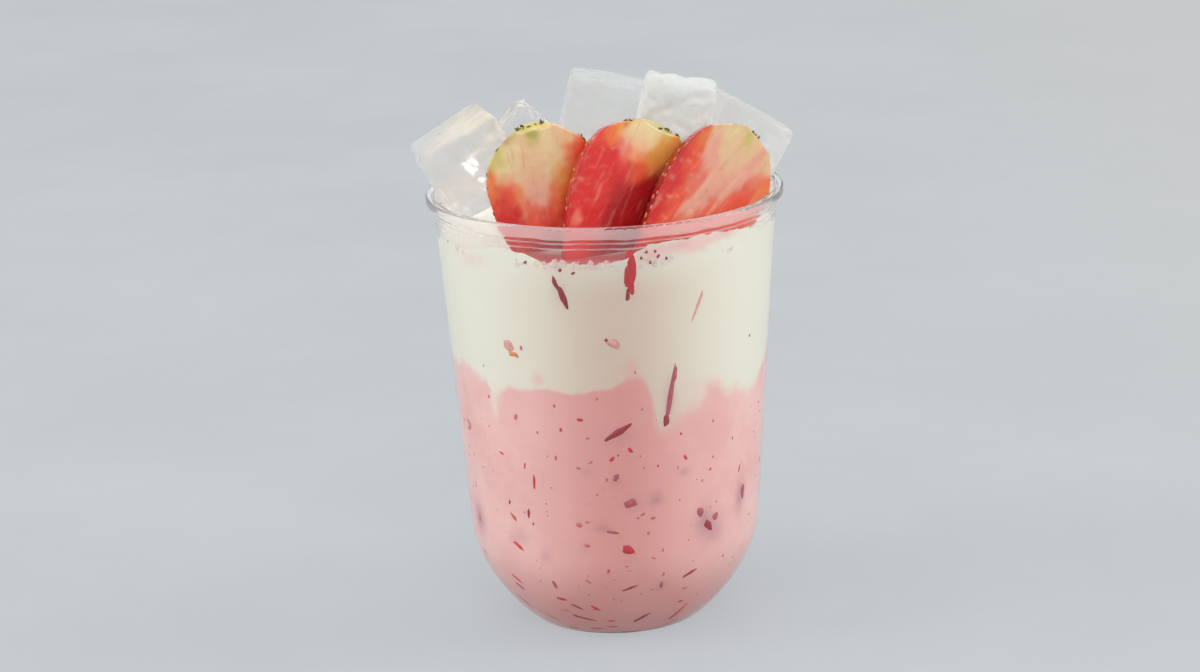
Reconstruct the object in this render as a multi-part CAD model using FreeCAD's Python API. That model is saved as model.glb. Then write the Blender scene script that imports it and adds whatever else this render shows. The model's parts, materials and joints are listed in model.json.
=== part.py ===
import FreeCAD, Part
import math
import os
from collections import namedtuple

# A glass of strawberry milk as a cafe serves it: a clear plastic cup with a rounded bottom, pink strawberry
# milk under a layer of white milk, three strawberry slices fanned against the front wall and ice piled behind.
# Millimetres. The origin is the middle of the foot, +Z is up, and the slices stand at the -Y side.

# Cup
CUP_HEIGHT = 118.0
WALL = 0.8
FLOOR = 1.0
LIP_REACH = 1.65
RIM_DEPTH = 2.2
RIM_ROUND = 0.6
WALL_TOP_RADIUS = 45.4
COLLAR_DEPTH = 3.6
STEP_HEIGHT = 1.6
STEP_OUT = 0.45
STEP_ROUND = 0.3
BOWL_HEIGHT = 27.0
BOWL_TOP_RADIUS = 39.3
BOWL_FULLNESS = 0.55
FOOT_RADIUS = 23.4
FOOT_LAND = 2.6
FOOT_HEEL = 0.8
FOOT_DRAFT = 0.3
FOOT_RECESS = 1.0
RECESS_RAMP = 1.4
GATE_RADIUS = 1.6
GATE_HEIGHT = 0.4

# Drink
HEADSPACE = 10.0
WHITE_DEPTH = 35.0
SURFACE_CLEARANCE = 0.05
# Where white milk runs down into the pink layer, or pink rises into the white one: the bearing from the front
# in degrees, the height at the wall, and half the width in degrees.
BOUNDARY_LOBES = [
    (-80.0, -2.5, 14.0),
    (-47.0, -8.5, 6.0),
    (-26.0, 1.5, 9.0),
    (12.5, 4.0, 4.5),
    (25.0, -11.0, 7.5),
    (55.0, -2.0, 10.0),
    (84.0, -5.0, 12.0),
    (118.0, 3.0, 12.0),
    (150.0, -7.0, 9.0),
    (180.0, 2.5, 11.0),
    (-150.0, -9.0, 8.0),
    (-115.0, 3.5, 10.0),
]
LOBE_REACH = 12.0
BOUNDARY_GRID = 45
BOUNDARY_MARGIN = 3.0

# Strawberry slices
SLICE_THICKNESS = 4.5
CALYX_DIMPLE = 1.4
# Half outline of a berry from its tip to the calyx: share of half the width, share of the length.
BERRY_FLANK = [
    (0.0, 0.0), (0.38, 0.10), (0.62, 0.27), (0.88, 0.48), (1.0, 0.72), (0.89, 0.86), (0.70, 0.93), (0.37, 1.0),
]
# Where the dimple under the calyx turns: share of half the width, share of the dimple's depth.
DIMPLE_KNEE = (0.22, 0.75)
# Each slice: the berry's length and width, how far the cut is from its core, how it is tilted and yawed, how much
# more than the wall it leans, how far round from the front its tip stands, the gap between wall and tip beside
# the slices in front of it, how many those are, and how deep the tip is under the milk.
Slice = namedtuple("Slice", "length width core_offset tilt yaw lean side gap in_front sink")
SLICES = {
    "left": Slice(50.6, 30.0, 2.0, -8.2, 8.0, 0.0, -10.3, 4.0, 2, 16.8),
    "middle": Slice(51.6, 33.6, 2.0, 32.0, 26.0, -2.0, -9.6, -1.6, 1, 12.8),
    "right": Slice(53.0, 32.2, 2.0, 51.0, 33.0, -3.0, 5.4, 1.2, 0, 8.6),
}

# Ice
ICE = 22.0
ICE_TAPER = 0.94
ICE_ROUND = 1.6
ICE_GAP = 0.3
ICE_DIMPLE_RADIUS = 16.0
ICE_DIMPLE_DEPTH = 1.2
# Cubes afloat in the milk
ICE_FRONT = -17.5
FLOATING_GAP = 0.7
RIGHT_ICE_SINK = 5.0
RIGHT_ICE_FORWARD = 0.5
RIGHT_ICE_TURN = -1.0
RIGHT_ICE_GAP = 0.45
BACK_ICE_SINK = 14.8
BACK_ICE_GAP = 3.2
BACK_ICE_ACROSS = 1.0
BACK_ICE_TURN = 5.0
# Cube afloat on its edge
EDGE_ICE = 23.5
EDGE_ICE_DEPTH = 14.0
EDGE_ICE_SINK = 0.9
EDGE_ICE_ACROSS = -22.1
EDGE_ICE_TURN = 45.0
EDGE_ICE_BEHIND = 0.7
# Cube on top of the back one, and the frosted one on top of the right one
TOP_ICE = 24.0
TOP_ICE_TURN = 11.5
TOP_ICE_ACROSS = 0.4
FROSTED_WIDTH = 20.5
FROSTED_DEPTH = 13.0
FROSTED_TURN = 12.0
FROSTED_ACROSS = 8.4
FROSTED_BEHIND = 0.35
# Cubes that lean out over the lip
LEAN_LEFT = 27.0
LEAN_RIGHT = 30.0
LEAN_SEAT = 2.5
LEAN_LEFT_RISE = 5.5
LEAN_RIGHT_RISE = 3.8
LEAN_LEFT_BEARING = 196.0
LEAN_RIGHT_BEARING = 14.0

MILK_LEVEL = CUP_HEIGHT - HEADSPACE
BOUNDARY_LEVEL = MILK_LEVEL - WHITE_DEPTH
STEP_TOP_Z = CUP_HEIGHT - COLLAR_DEPTH
STEP_LOW_Z = STEP_TOP_Z - STEP_HEIGHT
WALL_SLOPE = (WALL_TOP_RADIUS - BOWL_TOP_RADIUS) / (STEP_LOW_Z - BOWL_HEIGHT)
MOUTH_RADIUS = WALL_TOP_RADIUS + STEP_OUT - WALL
RIM_RADIUS = WALL_TOP_RADIUS + STEP_OUT + LIP_REACH


def point(r, z):
    return FreeCAD.Vector(r, 0, z)


def inner_radius(z):
    """Radius of the cup's inside on the straight stretch of its wall."""
    return BOWL_TOP_RADIUS - WALL + WALL_SLOPE * (z - BOWL_HEIGHT)


def outline(corners):
    """Edges along (r, z, rounding) corners, each corner with a rounding above zero turned into an arc."""
    edges = []
    start = point(*corners[0][:2])
    for before, corner, after in zip(corners, corners[1:], corners[2:]):
        here = point(*corner[:2])
        if corner[2] > 0:
            back = (point(*before[:2]) - here).normalize()
            on = (point(*after[:2]) - here).normalize()
            half = back.getAngle(on) / 2
            reach = corner[2] / math.tan(half)
            centre = here + (back + on).normalize() * (corner[2] / math.sin(half))
            enter, leave = here + back * reach, here + on * reach
            middle = centre + (here - centre).normalize() * corner[2]
            edges.append(Part.LineSegment(start, enter).toShape())
            edges.append(Part.Arc(enter, middle, leave).toShape())
            start = leave
        else:
            edges.append(Part.LineSegment(start, here).toShape())
            start = here
    edges.append(Part.LineSegment(start, point(*corners[-1][:2])).toShape())
    return edges


def bowl_curve(top_radius, low_radius, low_z):
    """The cup's rounded lower corner, from the straight wall's end down to the foot."""
    drop = (BOWL_HEIGHT - low_z) * BOWL_FULLNESS
    curve = Part.BezierCurve()
    curve.setPoles([
        point(top_radius, BOWL_HEIGHT),
        point(top_radius - WALL_SLOPE * drop, BOWL_HEIGHT - drop),
        point(low_radius + FOOT_HEEL, low_z),
        point(low_radius, low_z),
    ])
    return curve.toShape()


def revolve(edges):
    """Full turn of a closed outline about the cup's axis."""
    wire = Part.Wire(Part.__sortEdges__(edges))
    solid = Part.Face(wire).revolve(FreeCAD.Vector(), FreeCAD.Vector(0, 0, 1), 360)
    return Part.Solid(solid) if solid.ShapeType != "Solid" else solid


FOOT_INNER = FOOT_RADIUS - FOOT_LAND
INNER_FOOT_RADIUS = FOOT_RADIUS - FOOT_DRAFT
FLOOR_RAMP_RADIUS = FOOT_INNER - RECESS_RAMP


def inside_edges(top_z, clearance=0.0):
    """The cup's inside from the middle of the floor out and up the wall to top_z."""
    wall_foot = BOWL_TOP_RADIUS - WALL - clearance
    floor = outline([
        (0, FLOOR + FOOT_RECESS + clearance, 0),
        (FLOOR_RAMP_RADIUS, FLOOR + FOOT_RECESS + clearance, 0),
        (FOOT_INNER, FLOOR + clearance, 0),
        (INNER_FOOT_RADIUS - clearance, FLOOR + clearance, 0),
    ])
    bowl = bowl_curve(wall_foot, INNER_FOOT_RADIUS - clearance, FLOOR + clearance)
    wall = outline([
        (wall_foot, BOWL_HEIGHT, 0),
        (inner_radius(top_z) - clearance, top_z, 0),
    ])
    return floor + [bowl] + wall


def make_cup():
    """Thermoformed cup: lip, collar, stacking step, tapered wall, rounded bottom and a ring foot."""
    collar = WALL_TOP_RADIUS + STEP_OUT
    outside = [bowl_curve(BOWL_TOP_RADIUS, FOOT_RADIUS, 0.0)]
    rim = outline([
        (BOWL_TOP_RADIUS, BOWL_HEIGHT, 0),
        (WALL_TOP_RADIUS, STEP_LOW_Z, STEP_ROUND),
        (collar, STEP_TOP_Z, STEP_ROUND),
        (collar, CUP_HEIGHT - RIM_DEPTH, STEP_ROUND),
        (RIM_RADIUS, CUP_HEIGHT - RIM_DEPTH, RIM_ROUND),
        (RIM_RADIUS, CUP_HEIGHT, RIM_ROUND),
        (MOUTH_RADIUS, CUP_HEIGHT, RIM_ROUND),
        (MOUTH_RADIUS, STEP_TOP_Z, STEP_ROUND),
        (WALL_TOP_RADIUS - WALL, STEP_LOW_Z, STEP_ROUND),
        (BOWL_TOP_RADIUS - WALL, BOWL_HEIGHT, 0),
    ])
    bowl = bowl_curve(BOWL_TOP_RADIUS - WALL, INNER_FOOT_RADIUS, FLOOR)
    base = outline([
        (INNER_FOOT_RADIUS, FLOOR, 0),
        (FOOT_INNER, FLOOR, 0),
        (FLOOR_RAMP_RADIUS, FLOOR + FOOT_RECESS, 0),
        (0, FLOOR + FOOT_RECESS, 0),
        (0, FOOT_RECESS - GATE_HEIGHT, 0),
        (GATE_RADIUS, FOOT_RECESS - GATE_HEIGHT, 0),
        (GATE_RADIUS + GATE_HEIGHT, FOOT_RECESS, 0),
        (FLOOR_RAMP_RADIUS, FOOT_RECESS, 0),
        (FOOT_INNER, 0, 0),
        (FOOT_RADIUS, 0, 0),
    ])
    return revolve(outside + rim + [bowl] + base)


def boundary_height(x, y):
    """Height of the line between pink and white milk, with its lobes growing towards the wall."""
    bearing = math.degrees(math.atan2(x, -y))
    depth = inner_radius(BOUNDARY_LEVEL) - math.hypot(x, y)
    near_wall = math.exp(-((max(depth, 0.0) / LOBE_REACH) ** 2))
    height = BOUNDARY_LEVEL
    for lobe, rise, half_width in BOUNDARY_LOBES:
        turn = (bearing - lobe + 180) % 360 - 180
        height += near_wall * rise * math.exp(-((turn / half_width) ** 2))
    return height


def make_under_boundary():
    """Block below the boundary surface, wide enough to cut the drink in two."""
    half = WALL_TOP_RADIUS + BOUNDARY_MARGIN
    steps = [-half + 2 * half * i / (BOUNDARY_GRID - 1) for i in range(BOUNDARY_GRID)]
    rows = [[FreeCAD.Vector(x, y, boundary_height(x, y)) for y in steps] for x in steps]
    surface = Part.BSplineSurface()
    surface.interpolate(rows)
    return surface.toShape().extrude(FreeCAD.Vector(0, 0, -CUP_HEIGHT))


def make_drink():
    """The whole drink up to its level, before slices and ice are cut out of it."""
    top = outline([
        (inner_radius(MILK_LEVEL), MILK_LEVEL, 0),
        (0, MILK_LEVEL, 0),
        (0, FLOOR + FOOT_RECESS, 0),
    ])
    return revolve(inside_edges(MILK_LEVEL) + top)


def make_free_space():
    """Everything a slice may fill: the cup's inside and the air above the rim."""
    top = outline([
        (inner_radius(STEP_LOW_Z) - SURFACE_CLEARANCE, STEP_LOW_Z, 0),
        (MOUTH_RADIUS - SURFACE_CLEARANCE, STEP_TOP_Z, 0),
        (MOUTH_RADIUS - SURFACE_CLEARANCE, CUP_HEIGHT + SURFACE_CLEARANCE, 0),
        (2 * RIM_RADIUS, CUP_HEIGHT + SURFACE_CLEARANCE, 0),
        (2 * RIM_RADIUS, 2 * CUP_HEIGHT, 0),
        (0, 2 * CUP_HEIGHT, 0),
        (0, FLOOR + FOOT_RECESS + SURFACE_CLEARANCE, 0),
    ])
    return revolve(inside_edges(STEP_LOW_Z, SURFACE_CLEARANCE) + top)


def berry_profile(length, width):
    """Half outline of a berry, tip at the origin: full shoulders, a blunt tip, a dimple under the calyx."""
    half = width / 2
    flank = Part.BSplineCurve()
    flank.interpolate([point(half * r, length * z) for r, z in BERRY_FLANK])
    neck = point(half * BERRY_FLANK[-1][0], length)
    knee = point(half * DIMPLE_KNEE[0], length - CALYX_DIMPLE * DIMPLE_KNEE[1])
    core = point(0, length - CALYX_DIMPLE)
    dimple = Part.Arc(neck, knee, core)
    return [flank.toShape(), dimple.toShape(), Part.LineSegment(core, point(0, 0)).toShape()]


def make_slice(sizes):
    """A lengthwise slice of a berry, set against the wall with its tip in the milk."""
    berry = revolve(berry_profile(sizes.length, sizes.width))
    slab = Part.makeBox(
        2 * sizes.width, SLICE_THICKNESS, 2 * sizes.length,
        FreeCAD.Vector(-sizes.width, sizes.core_offset, -sizes.length / 2),
    )
    piece = berry.common(slab)
    piece.translate(FreeCAD.Vector(0, -sizes.core_offset, 0))
    piece.rotate(FreeCAD.Vector(), FreeCAD.Vector(0, 1, 0), sizes.tilt)
    piece.rotate(FreeCAD.Vector(), FreeCAD.Vector(0, 0, 1), sizes.yaw)
    lean = math.degrees(math.atan(WALL_SLOPE)) + sizes.lean
    piece.rotate(FreeCAD.Vector(), FreeCAD.Vector(1, 0, 0), lean)
    tip_z = MILK_LEVEL - sizes.sink
    reach = inner_radius(tip_z) - sizes.gap - sizes.in_front * SLICE_THICKNESS
    turn = sizes.side / reach
    piece.translate(FreeCAD.Vector(reach * math.sin(turn), -reach * math.cos(turn), tip_z))
    return piece


def ice_block(width, depth, height):
    """A tapered ice cube about its own middle, edges melted round, with the dimple its mould leaves on top."""
    low = Part.makePolygon([
        FreeCAD.Vector(x * width / 2, y * depth / 2, -height / 2)
        for x, y in [(-1, -1), (1, -1), (1, 1), (-1, 1), (-1, -1)]
    ])
    high = Part.makePolygon([
        FreeCAD.Vector(x * width / 2 * ICE_TAPER, y * depth / 2 * ICE_TAPER, height / 2)
        for x, y in [(-1, -1), (1, -1), (1, 1), (-1, 1), (-1, -1)]
    ])
    block = Part.makeLoft([low, high], True, True)
    block = block.makeFillet(ICE_ROUND, block.Edges)
    ball = Part.makeSphere(ICE_DIMPLE_RADIUS)
    ball.translate(FreeCAD.Vector(0, 0, height / 2 + ICE_DIMPLE_RADIUS - ICE_DIMPLE_DEPTH))
    return block.cut(ball)


def place(piece, turns, centre):
    """Turn a piece about the axes through its middle, in the order given, and move it to its place."""
    axes = {"x": FreeCAD.Vector(1, 0, 0), "y": FreeCAD.Vector(0, 1, 0), "z": FreeCAD.Vector(0, 0, 1)}
    for axis, angle in turns:
        piece.rotate(FreeCAD.Vector(), axes[axis], angle)
    piece.translate(FreeCAD.Vector(*centre))
    return piece


def lean_frame(lean, rise):
    """Distance from the axis and height of a leaning cube's middle, and of its low inner edge."""
    half = ICE / 2
    contact = math.sqrt((MOUTH_RADIUS - ICE_GAP) ** 2 - (half - ICE_ROUND) ** 2)
    angle = math.radians(lean)
    across = contact - half * math.cos(angle) + rise * math.sin(angle)
    up = CUP_HEIGHT + half * math.sin(angle) + rise * math.cos(angle)
    edge_across = across - half * (math.cos(angle) + math.sin(angle))
    edge_up = up - half * (math.cos(angle) - math.sin(angle))
    return across, up, edge_across, edge_up


def leaning_ice(lean, rise, bearing):
    """A cube that leans out over the lip. Its outer face rests on the lip's inner edge at both its sides."""
    across, up = lean_frame(lean, rise)[:2]
    piece = place(ice_block(ICE, ICE, ICE), [("y", 90 + lean)], (across, 0, up))
    piece.rotate(FreeCAD.Vector(), FreeCAD.Vector(0, 0, 1), bearing)
    return piece


def turned_half(width, height, turn):
    """Half the height that a block takes up once it is turned in the vertical plane."""
    angle = math.radians(turn)
    return (width * math.sin(angle) + height * math.cos(angle)) / 2


def make_ice():
    """Three cubes afloat in the milk, one afloat on its edge, two leaning out over the lip and two on top."""
    half = ICE / 2
    cube = (ICE, ICE, ICE)
    front_y = ICE_FRONT + half
    floor_z = MILK_LEVEL - BACK_ICE_SINK

    # The right cube floats beside the inner edge of the cube that leans over the lip there. Taper and
    # rounding take both cubes' corners back, so the gap is measured at the right cube's back corner.
    right_across = lean_frame(LEAN_RIGHT, LEAN_RIGHT_RISE)[2]
    right_turn = math.radians(LEAN_RIGHT_BEARING)
    right_back = front_y - RIGHT_ICE_FORWARD + half
    edge_slant = (right_back - right_across * math.sin(right_turn)) * math.tan(right_turn)
    corner = (1 - ICE_TAPER) * half + (math.sqrt(2) - 1) * ICE_ROUND
    right_x = right_across * math.cos(right_turn) - edge_slant + corner - half - RIGHT_ICE_GAP
    right_top = MILK_LEVEL - RIGHT_ICE_SINK + ICE
    right_front = right_across * math.sin(right_turn) - half * math.cos(right_turn)

    # The left cube floats under the one that leans over the lip there, whose lower face rests on it.
    left_across, left_up = lean_frame(LEAN_LEFT, LEAN_LEFT_RISE)[2:]
    left_edge = -left_across * math.cos(math.radians(LEAN_LEFT_BEARING - 180))
    left_x = min(left_edge - LEAN_SEAT + half, right_x - ICE - FLOATING_GAP)
    left_top = left_up - (left_edge - left_x + half) * math.tan(math.radians(LEAN_LEFT)) - ICE_GAP

    # The back cube floats a gap from the wall, and the cube on its edge just behind the left one.
    wall_y = math.sqrt(inner_radius(floor_z) ** 2 - (half + BACK_ICE_ACROSS) ** 2)
    back_y = wall_y - BACK_ICE_GAP - half
    edge_y = front_y + half + EDGE_ICE_BEHIND + EDGE_ICE_DEPTH / 2
    edge_z = MILK_LEVEL - EDGE_ICE_SINK + turned_half(EDGE_ICE, EDGE_ICE, EDGE_ICE_TURN)

    # The top cube stands on the back one, behind the cube on its edge, and the frosted one on the right one.
    top_y = edge_y + EDGE_ICE_DEPTH / 2 + ICE_GAP + half
    top_z = floor_z + ICE + ICE_GAP + turned_half(TOP_ICE, TOP_ICE, TOP_ICE_TURN)
    frosted_y = right_front + FROSTED_BEHIND - FROSTED_DEPTH / 2
    frosted_z = right_top + ICE_GAP + turned_half(FROSTED_WIDTH, ICE, FROSTED_TURN)
    return {
        "ice_under_left": place(ice_block(*cube), [], (left_x, front_y, left_top - half)),
        "ice_under_right": place(
            ice_block(*cube), [("z", RIGHT_ICE_TURN)],
            (right_x, front_y - RIGHT_ICE_FORWARD, right_top - half)),
        "ice_under_back": place(
            ice_block(*cube), [("z", BACK_ICE_TURN)], (BACK_ICE_ACROSS, back_y, floor_z + half)),
        "ice_left": leaning_ice(LEAN_LEFT, LEAN_LEFT_RISE, LEAN_LEFT_BEARING),
        "ice_right": leaning_ice(LEAN_RIGHT, LEAN_RIGHT_RISE, LEAN_RIGHT_BEARING),
        "ice_on_edge": place(
            ice_block(EDGE_ICE, EDGE_ICE_DEPTH, EDGE_ICE), [("y", EDGE_ICE_TURN)],
            (EDGE_ICE_ACROSS, edge_y, edge_z)),
        "ice_middle": place(
            ice_block(TOP_ICE, ICE, TOP_ICE), [("y", TOP_ICE_TURN)], (TOP_ICE_ACROSS, top_y, top_z)),
        "ice_frosted": place(
            ice_block(FROSTED_WIDTH, FROSTED_DEPTH, ICE), [("y", FROSTED_TURN)],
            (right_x + FROSTED_ACROSS, frosted_y, frosted_z)),
    }


def main():
    os.makedirs("parts", exist_ok=True)
    cup = make_cup()
    drink = make_drink()
    free_space = make_free_space()
    slices = {name: make_slice(sizes).common(free_space) for name, sizes in SLICES.items()}
    ice = make_ice()
    under = make_under_boundary()
    solids = list(slices.values()) + list(ice.values())
    pink = drink.common(under).cut(solids)
    white = drink.cut(under).cut(solids)

    pieces = {"cup": cup, "strawberry_milk": pink, "milk": white}
    pieces.update({f"strawberry_slice_{name}": piece for name, piece in slices.items()})
    pieces.update(ice)
    for name, piece in pieces.items():
        if len(piece.Solids) == 1:
            piece = piece.Solids[0]
        box = piece.BoundBox
        print(f"{name}: solids {len(piece.Solids)} volume {piece.Volume:.0f} valid {piece.isValid()} "
              f"x {box.XMin:.1f}..{box.XMax:.1f} y {box.YMin:.1f}..{box.YMax:.1f} "
              f"z {box.ZMin:.1f}..{box.ZMax:.1f}")
        piece.exportStep(f"parts/{name}.step")


main()
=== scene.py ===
"""A cup of strawberry milk: pink and white layers, three strawberry slices and ice in a clear plastic cup."""

import json
import logging
import math
import random
from dataclasses import dataclass, field, replace
from enum import Enum
from typing import Any, Iterable, Sequence

import bmesh
import bpy
import numpy as np
from mathutils import Matrix, Vector, noise
from mathutils.bvhtree import BVHTree

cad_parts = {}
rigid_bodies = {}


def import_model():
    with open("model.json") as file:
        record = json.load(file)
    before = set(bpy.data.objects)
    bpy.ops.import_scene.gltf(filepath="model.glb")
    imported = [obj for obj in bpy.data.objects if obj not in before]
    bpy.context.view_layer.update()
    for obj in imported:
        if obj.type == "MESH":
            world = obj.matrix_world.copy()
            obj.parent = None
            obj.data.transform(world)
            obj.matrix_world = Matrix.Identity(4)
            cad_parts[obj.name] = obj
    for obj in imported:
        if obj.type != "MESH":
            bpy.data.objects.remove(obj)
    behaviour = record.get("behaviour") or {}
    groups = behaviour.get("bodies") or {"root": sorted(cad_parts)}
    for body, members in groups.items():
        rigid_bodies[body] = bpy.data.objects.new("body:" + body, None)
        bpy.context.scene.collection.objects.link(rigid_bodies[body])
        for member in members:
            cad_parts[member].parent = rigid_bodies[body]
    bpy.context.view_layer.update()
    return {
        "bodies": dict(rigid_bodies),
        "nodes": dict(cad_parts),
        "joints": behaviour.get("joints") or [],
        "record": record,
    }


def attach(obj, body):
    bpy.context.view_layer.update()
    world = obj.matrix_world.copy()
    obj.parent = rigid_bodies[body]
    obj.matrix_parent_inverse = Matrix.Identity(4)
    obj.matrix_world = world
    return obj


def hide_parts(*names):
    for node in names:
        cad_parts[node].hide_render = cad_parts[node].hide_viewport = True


log = logging.getLogger("strawberry_milk")

Array = np.ndarray
BMesh = bmesh.types.BMesh
Material = bpy.types.Material
Node = bpy.types.Node
NodeTree = bpy.types.NodeTree
Object = bpy.types.Object
Socket = bpy.types.NodeSocket
Colour = tuple[float, float, float]
Seeds = list[tuple[Vector, Vector]]

MM = 0.001
WELD = 2e-6
SHARP_ANGLE = math.radians(50)


class Slot(Enum):
    """Names of material slots for the pieces' finishes; the script does not use them."""

    PINK = "strawberry_milk"
    WHITE = "white_milk"
    BERRY = "strawberry"
    ICE = "clear_ice"
    FROSTED = "frosted_ice"


def linear(red: int, green: int, blue: int) -> Colour:
    """Linear colour of an eight-bit display colour.

    Args:
        red: Red, from 0 to 255.
        green: Green, from 0 to 255.
        blue: Blue, from 0 to 255.

    Returns:
        The linear colour.
    """
    return tuple(
        c / 12.92 if c <= 0.04045 else ((c + 0.055) / 1.055) ** 2.4
        for c in (red / 255, green / 255, blue / 255)
    )


def rgba(colour: Colour) -> tuple[float, float, float, float]:
    """A colour with full alpha."""
    return (*colour, 1.0)


def smoothstep(low: float, high: float, value: Any) -> Any:
    """Smooth rise from 0 at low to 1 at high, over an array."""
    t = np.clip((value - low) / (high - low), 0, 1)
    return t * t * (3 - 2 * t)


def bell(value: Array) -> Array:
    """A bell curve: 1 at 0, falling to 0.37 at 1."""
    return np.exp(-(value ** 2))


def noise_field(points: Array, size: float, seed: float) -> Array:
    """Noise of about -1 to 1 at points, with features of the given size in the points' unit."""
    shift = Vector((seed, -seed, 2 * seed))
    return np.array([noise.noise(Vector(p) / size + shift) for p in points])


def bearings_of(places: Array) -> Array:
    """Degrees round the cup's axis from the front, towards +X."""
    return np.degrees(np.arctan2(places[:, 0], -places[:, 1]))


def radii_of(places: Array) -> Array:
    """Distances from the cup's axis."""
    return np.hypot(places[:, 0], places[:, 1])


def turned_from(bearings: Array, centre: float) -> Array:
    """Degrees from a bearing, between -180 and 180."""
    return (bearings - centre + 180) % 360 - 180


# --- Node trees


class Nodes:
    """A node tree with short calls to add and link its nodes.

    Args:
        tree: The node tree of a material, a world or a group.
    """

    def __init__(self, tree: NodeTree) -> None:
        self.tree = tree
        tree.nodes.clear()

    def fill(self, node: Node, inputs: dict[Any, Any]) -> None:
        """Set or link a node's inputs, given by name or number.

        Args:
            node: The node.
            inputs: Values or output sockets.
        """
        for key, value in inputs.items():
            if isinstance(value, Socket):
                self.tree.links.new(value, node.inputs[key])
            else:
                node.inputs[key].default_value = value

    def add(self, kind: str, inputs: dict[Any, Any] | None = None, **settings: Any) -> Node:
        """Add a node.

        Args:
            kind: The node type without its ShaderNode prefix, or a full type name.
            inputs: Values or output sockets for the node's inputs, by name or number.
            settings: Properties to set on the node.

        Returns:
            The new node.
        """
        node = self.tree.nodes.new(kind if kind.startswith("NodeGroup") else "ShaderNode" + kind)
        for name, value in settings.items():
            setattr(node, name, value)
        self.fill(node, inputs or {})
        return node

    def math(self, operation: str, a: Any, b: Any = 0.0, c: Any = 0.0) -> Socket:
        """A Math node's result."""
        return self.add("Math", {0: a, 1: b, 2: c}, operation=operation).outputs[0]

    def mix(self, factor: Any, a: Any, b: Any) -> Socket:
        """A colour between a and b."""
        a, b = (value if isinstance(value, Socket) else rgba(value) for value in (a, b))
        return self.add("Mix", {0: factor, 6: a, 7: b}, data_type="RGBA").outputs[2]

    def noise(self, vector: Any, scale: Any, detail: float = 2.0, roughness: float = 0.5) -> Socket:
        """A Noise Texture's value."""
        inputs = {"Vector": vector, "Scale": scale, "Detail": detail, "Roughness": roughness}
        return self.add("TexNoise", inputs).outputs["Fac"]

    def rise(self, value: Any, low: float, high: float) -> Socket:
        """Smooth rise from 0 to 1 as a value goes from low to high."""
        inputs = {"Value": value, "From Min": low, "From Max": high}
        return self.add("MapRange", inputs, interpolation_type="SMOOTHSTEP").outputs[0]

    def bump(self, height: Any, strength: float, distance: float) -> Socket:
        """A Bump node's normal."""
        return self.add("Bump", {"Height": height, "Strength": strength, "Distance": distance}).outputs[0]

    def group(self, group: NodeTree, inputs: dict[str, Any]) -> Node:
        """Place a node group."""
        return self.add("Group", inputs, node_tree=group)

    def attribute(self, name: str, output: str = "Fac") -> Socket:
        """A mesh attribute's value."""
        return self.add("Attribute", attribute_name=name).outputs[output]

    def object_coordinates(self) -> Socket:
        """Position in the part's own frame, in metres."""
        return self.add("TexCoord").outputs["Object"]

    def seen_directly(self) -> Socket:
        """1 where the camera sees a surface, directly, in a reflection or through glass.

        Returns:
            The value.
        """
        path = self.add("LightPath")
        seen = self.math("MAXIMUM", path.outputs["Is Camera Ray"], path.outputs["Is Transmission Ray"])
        return self.math("MAXIMUM", seen, path.outputs["Is Glossy Ray"])

    def surface(self, shader: Socket, output: str = "OutputMaterial") -> None:
        """Link a shader to the tree's output."""
        self.add(output, {"Surface": shader})


def new_material(name: str) -> tuple[Material, Nodes]:
    """A material with an empty node tree.

    Args:
        name: Its name.

    Returns:
        The material and its nodes.
    """
    material = bpy.data.materials.new(name)
    material.use_nodes = True
    return material, Nodes(material.node_tree)


def build_group(name: str, inputs: dict[str, tuple[str, float | None]],
                outputs: dict[str, str]) -> tuple[Nodes, dict[str, Socket], Node]:
    """A node group with its sockets made.

    Args:
        name: The group's name.
        inputs: Socket type suffix and default for each named input.
        outputs: Socket type suffix for each named output.

    Returns:
        The group's nodes, its inputs as they reach them and its output node.
    """
    tree = bpy.data.node_groups.new(name, "ShaderNodeTree")
    for label, (kind, default) in inputs.items():
        socket = tree.interface.new_socket(label, in_out="INPUT", socket_type="NodeSocket" + kind)
        if default is not None:
            socket.default_value = default
    for label, kind in outputs.items():
        tree.interface.new_socket(label, in_out="OUTPUT", socket_type="NodeSocket" + kind)
    nodes = Nodes(tree)
    entry = nodes.add("NodeGroupInput")
    return nodes, {label: entry.outputs[label] for label in inputs}, nodes.add("NodeGroupOutput")


class SharedEffects:
    """Node groups that several finishes use: clouds of tone and small dents."""

    def __init__(self) -> None:
        self.clouds = self._clouds()
        self.dents = self._dents()

    @staticmethod
    def _clouds() -> NodeTree:
        """Slow change between two colours, with a finer mottle in it.

        Returns:
            The node group.
        """
        nodes, given, result = build_group(
            "tone_clouds",
            {"Vector": ("Vector", None), "Low": ("Color", None), "High": ("Color", None),
             "Scale": ("Float", 60.0), "Fine": ("Float", 400.0)},
            {"Color": "Color", "Mask": "Float"},
        )
        broad = nodes.math("MULTIPLY", nodes.noise(given["Vector"], given["Scale"], 3.0), 0.75)
        fine = nodes.math("MULTIPLY", nodes.noise(given["Vector"], given["Fine"]), 0.25)
        mask = nodes.rise(nodes.math("ADD", broad, fine), 0.36, 0.64)
        nodes.fill(result, {"Color": nodes.mix(mask, given["Low"], given["High"]), "Mask": mask})
        return nodes.tree

    @staticmethod
    def _dents() -> NodeTree:
        """Height of shallow melted dents and ripples.

        Returns:
            The node group.
        """
        nodes, given, result = build_group(
            "melted_dents", {"Vector": ("Vector", None), "Scale": ("Float", 120.0)}, {"Height": "Float"})
        nodes.fill(result, {"Height": nodes.noise(given["Vector"], given["Scale"], roughness=0.45)})
        return nodes.tree


# --- Finishes


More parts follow.
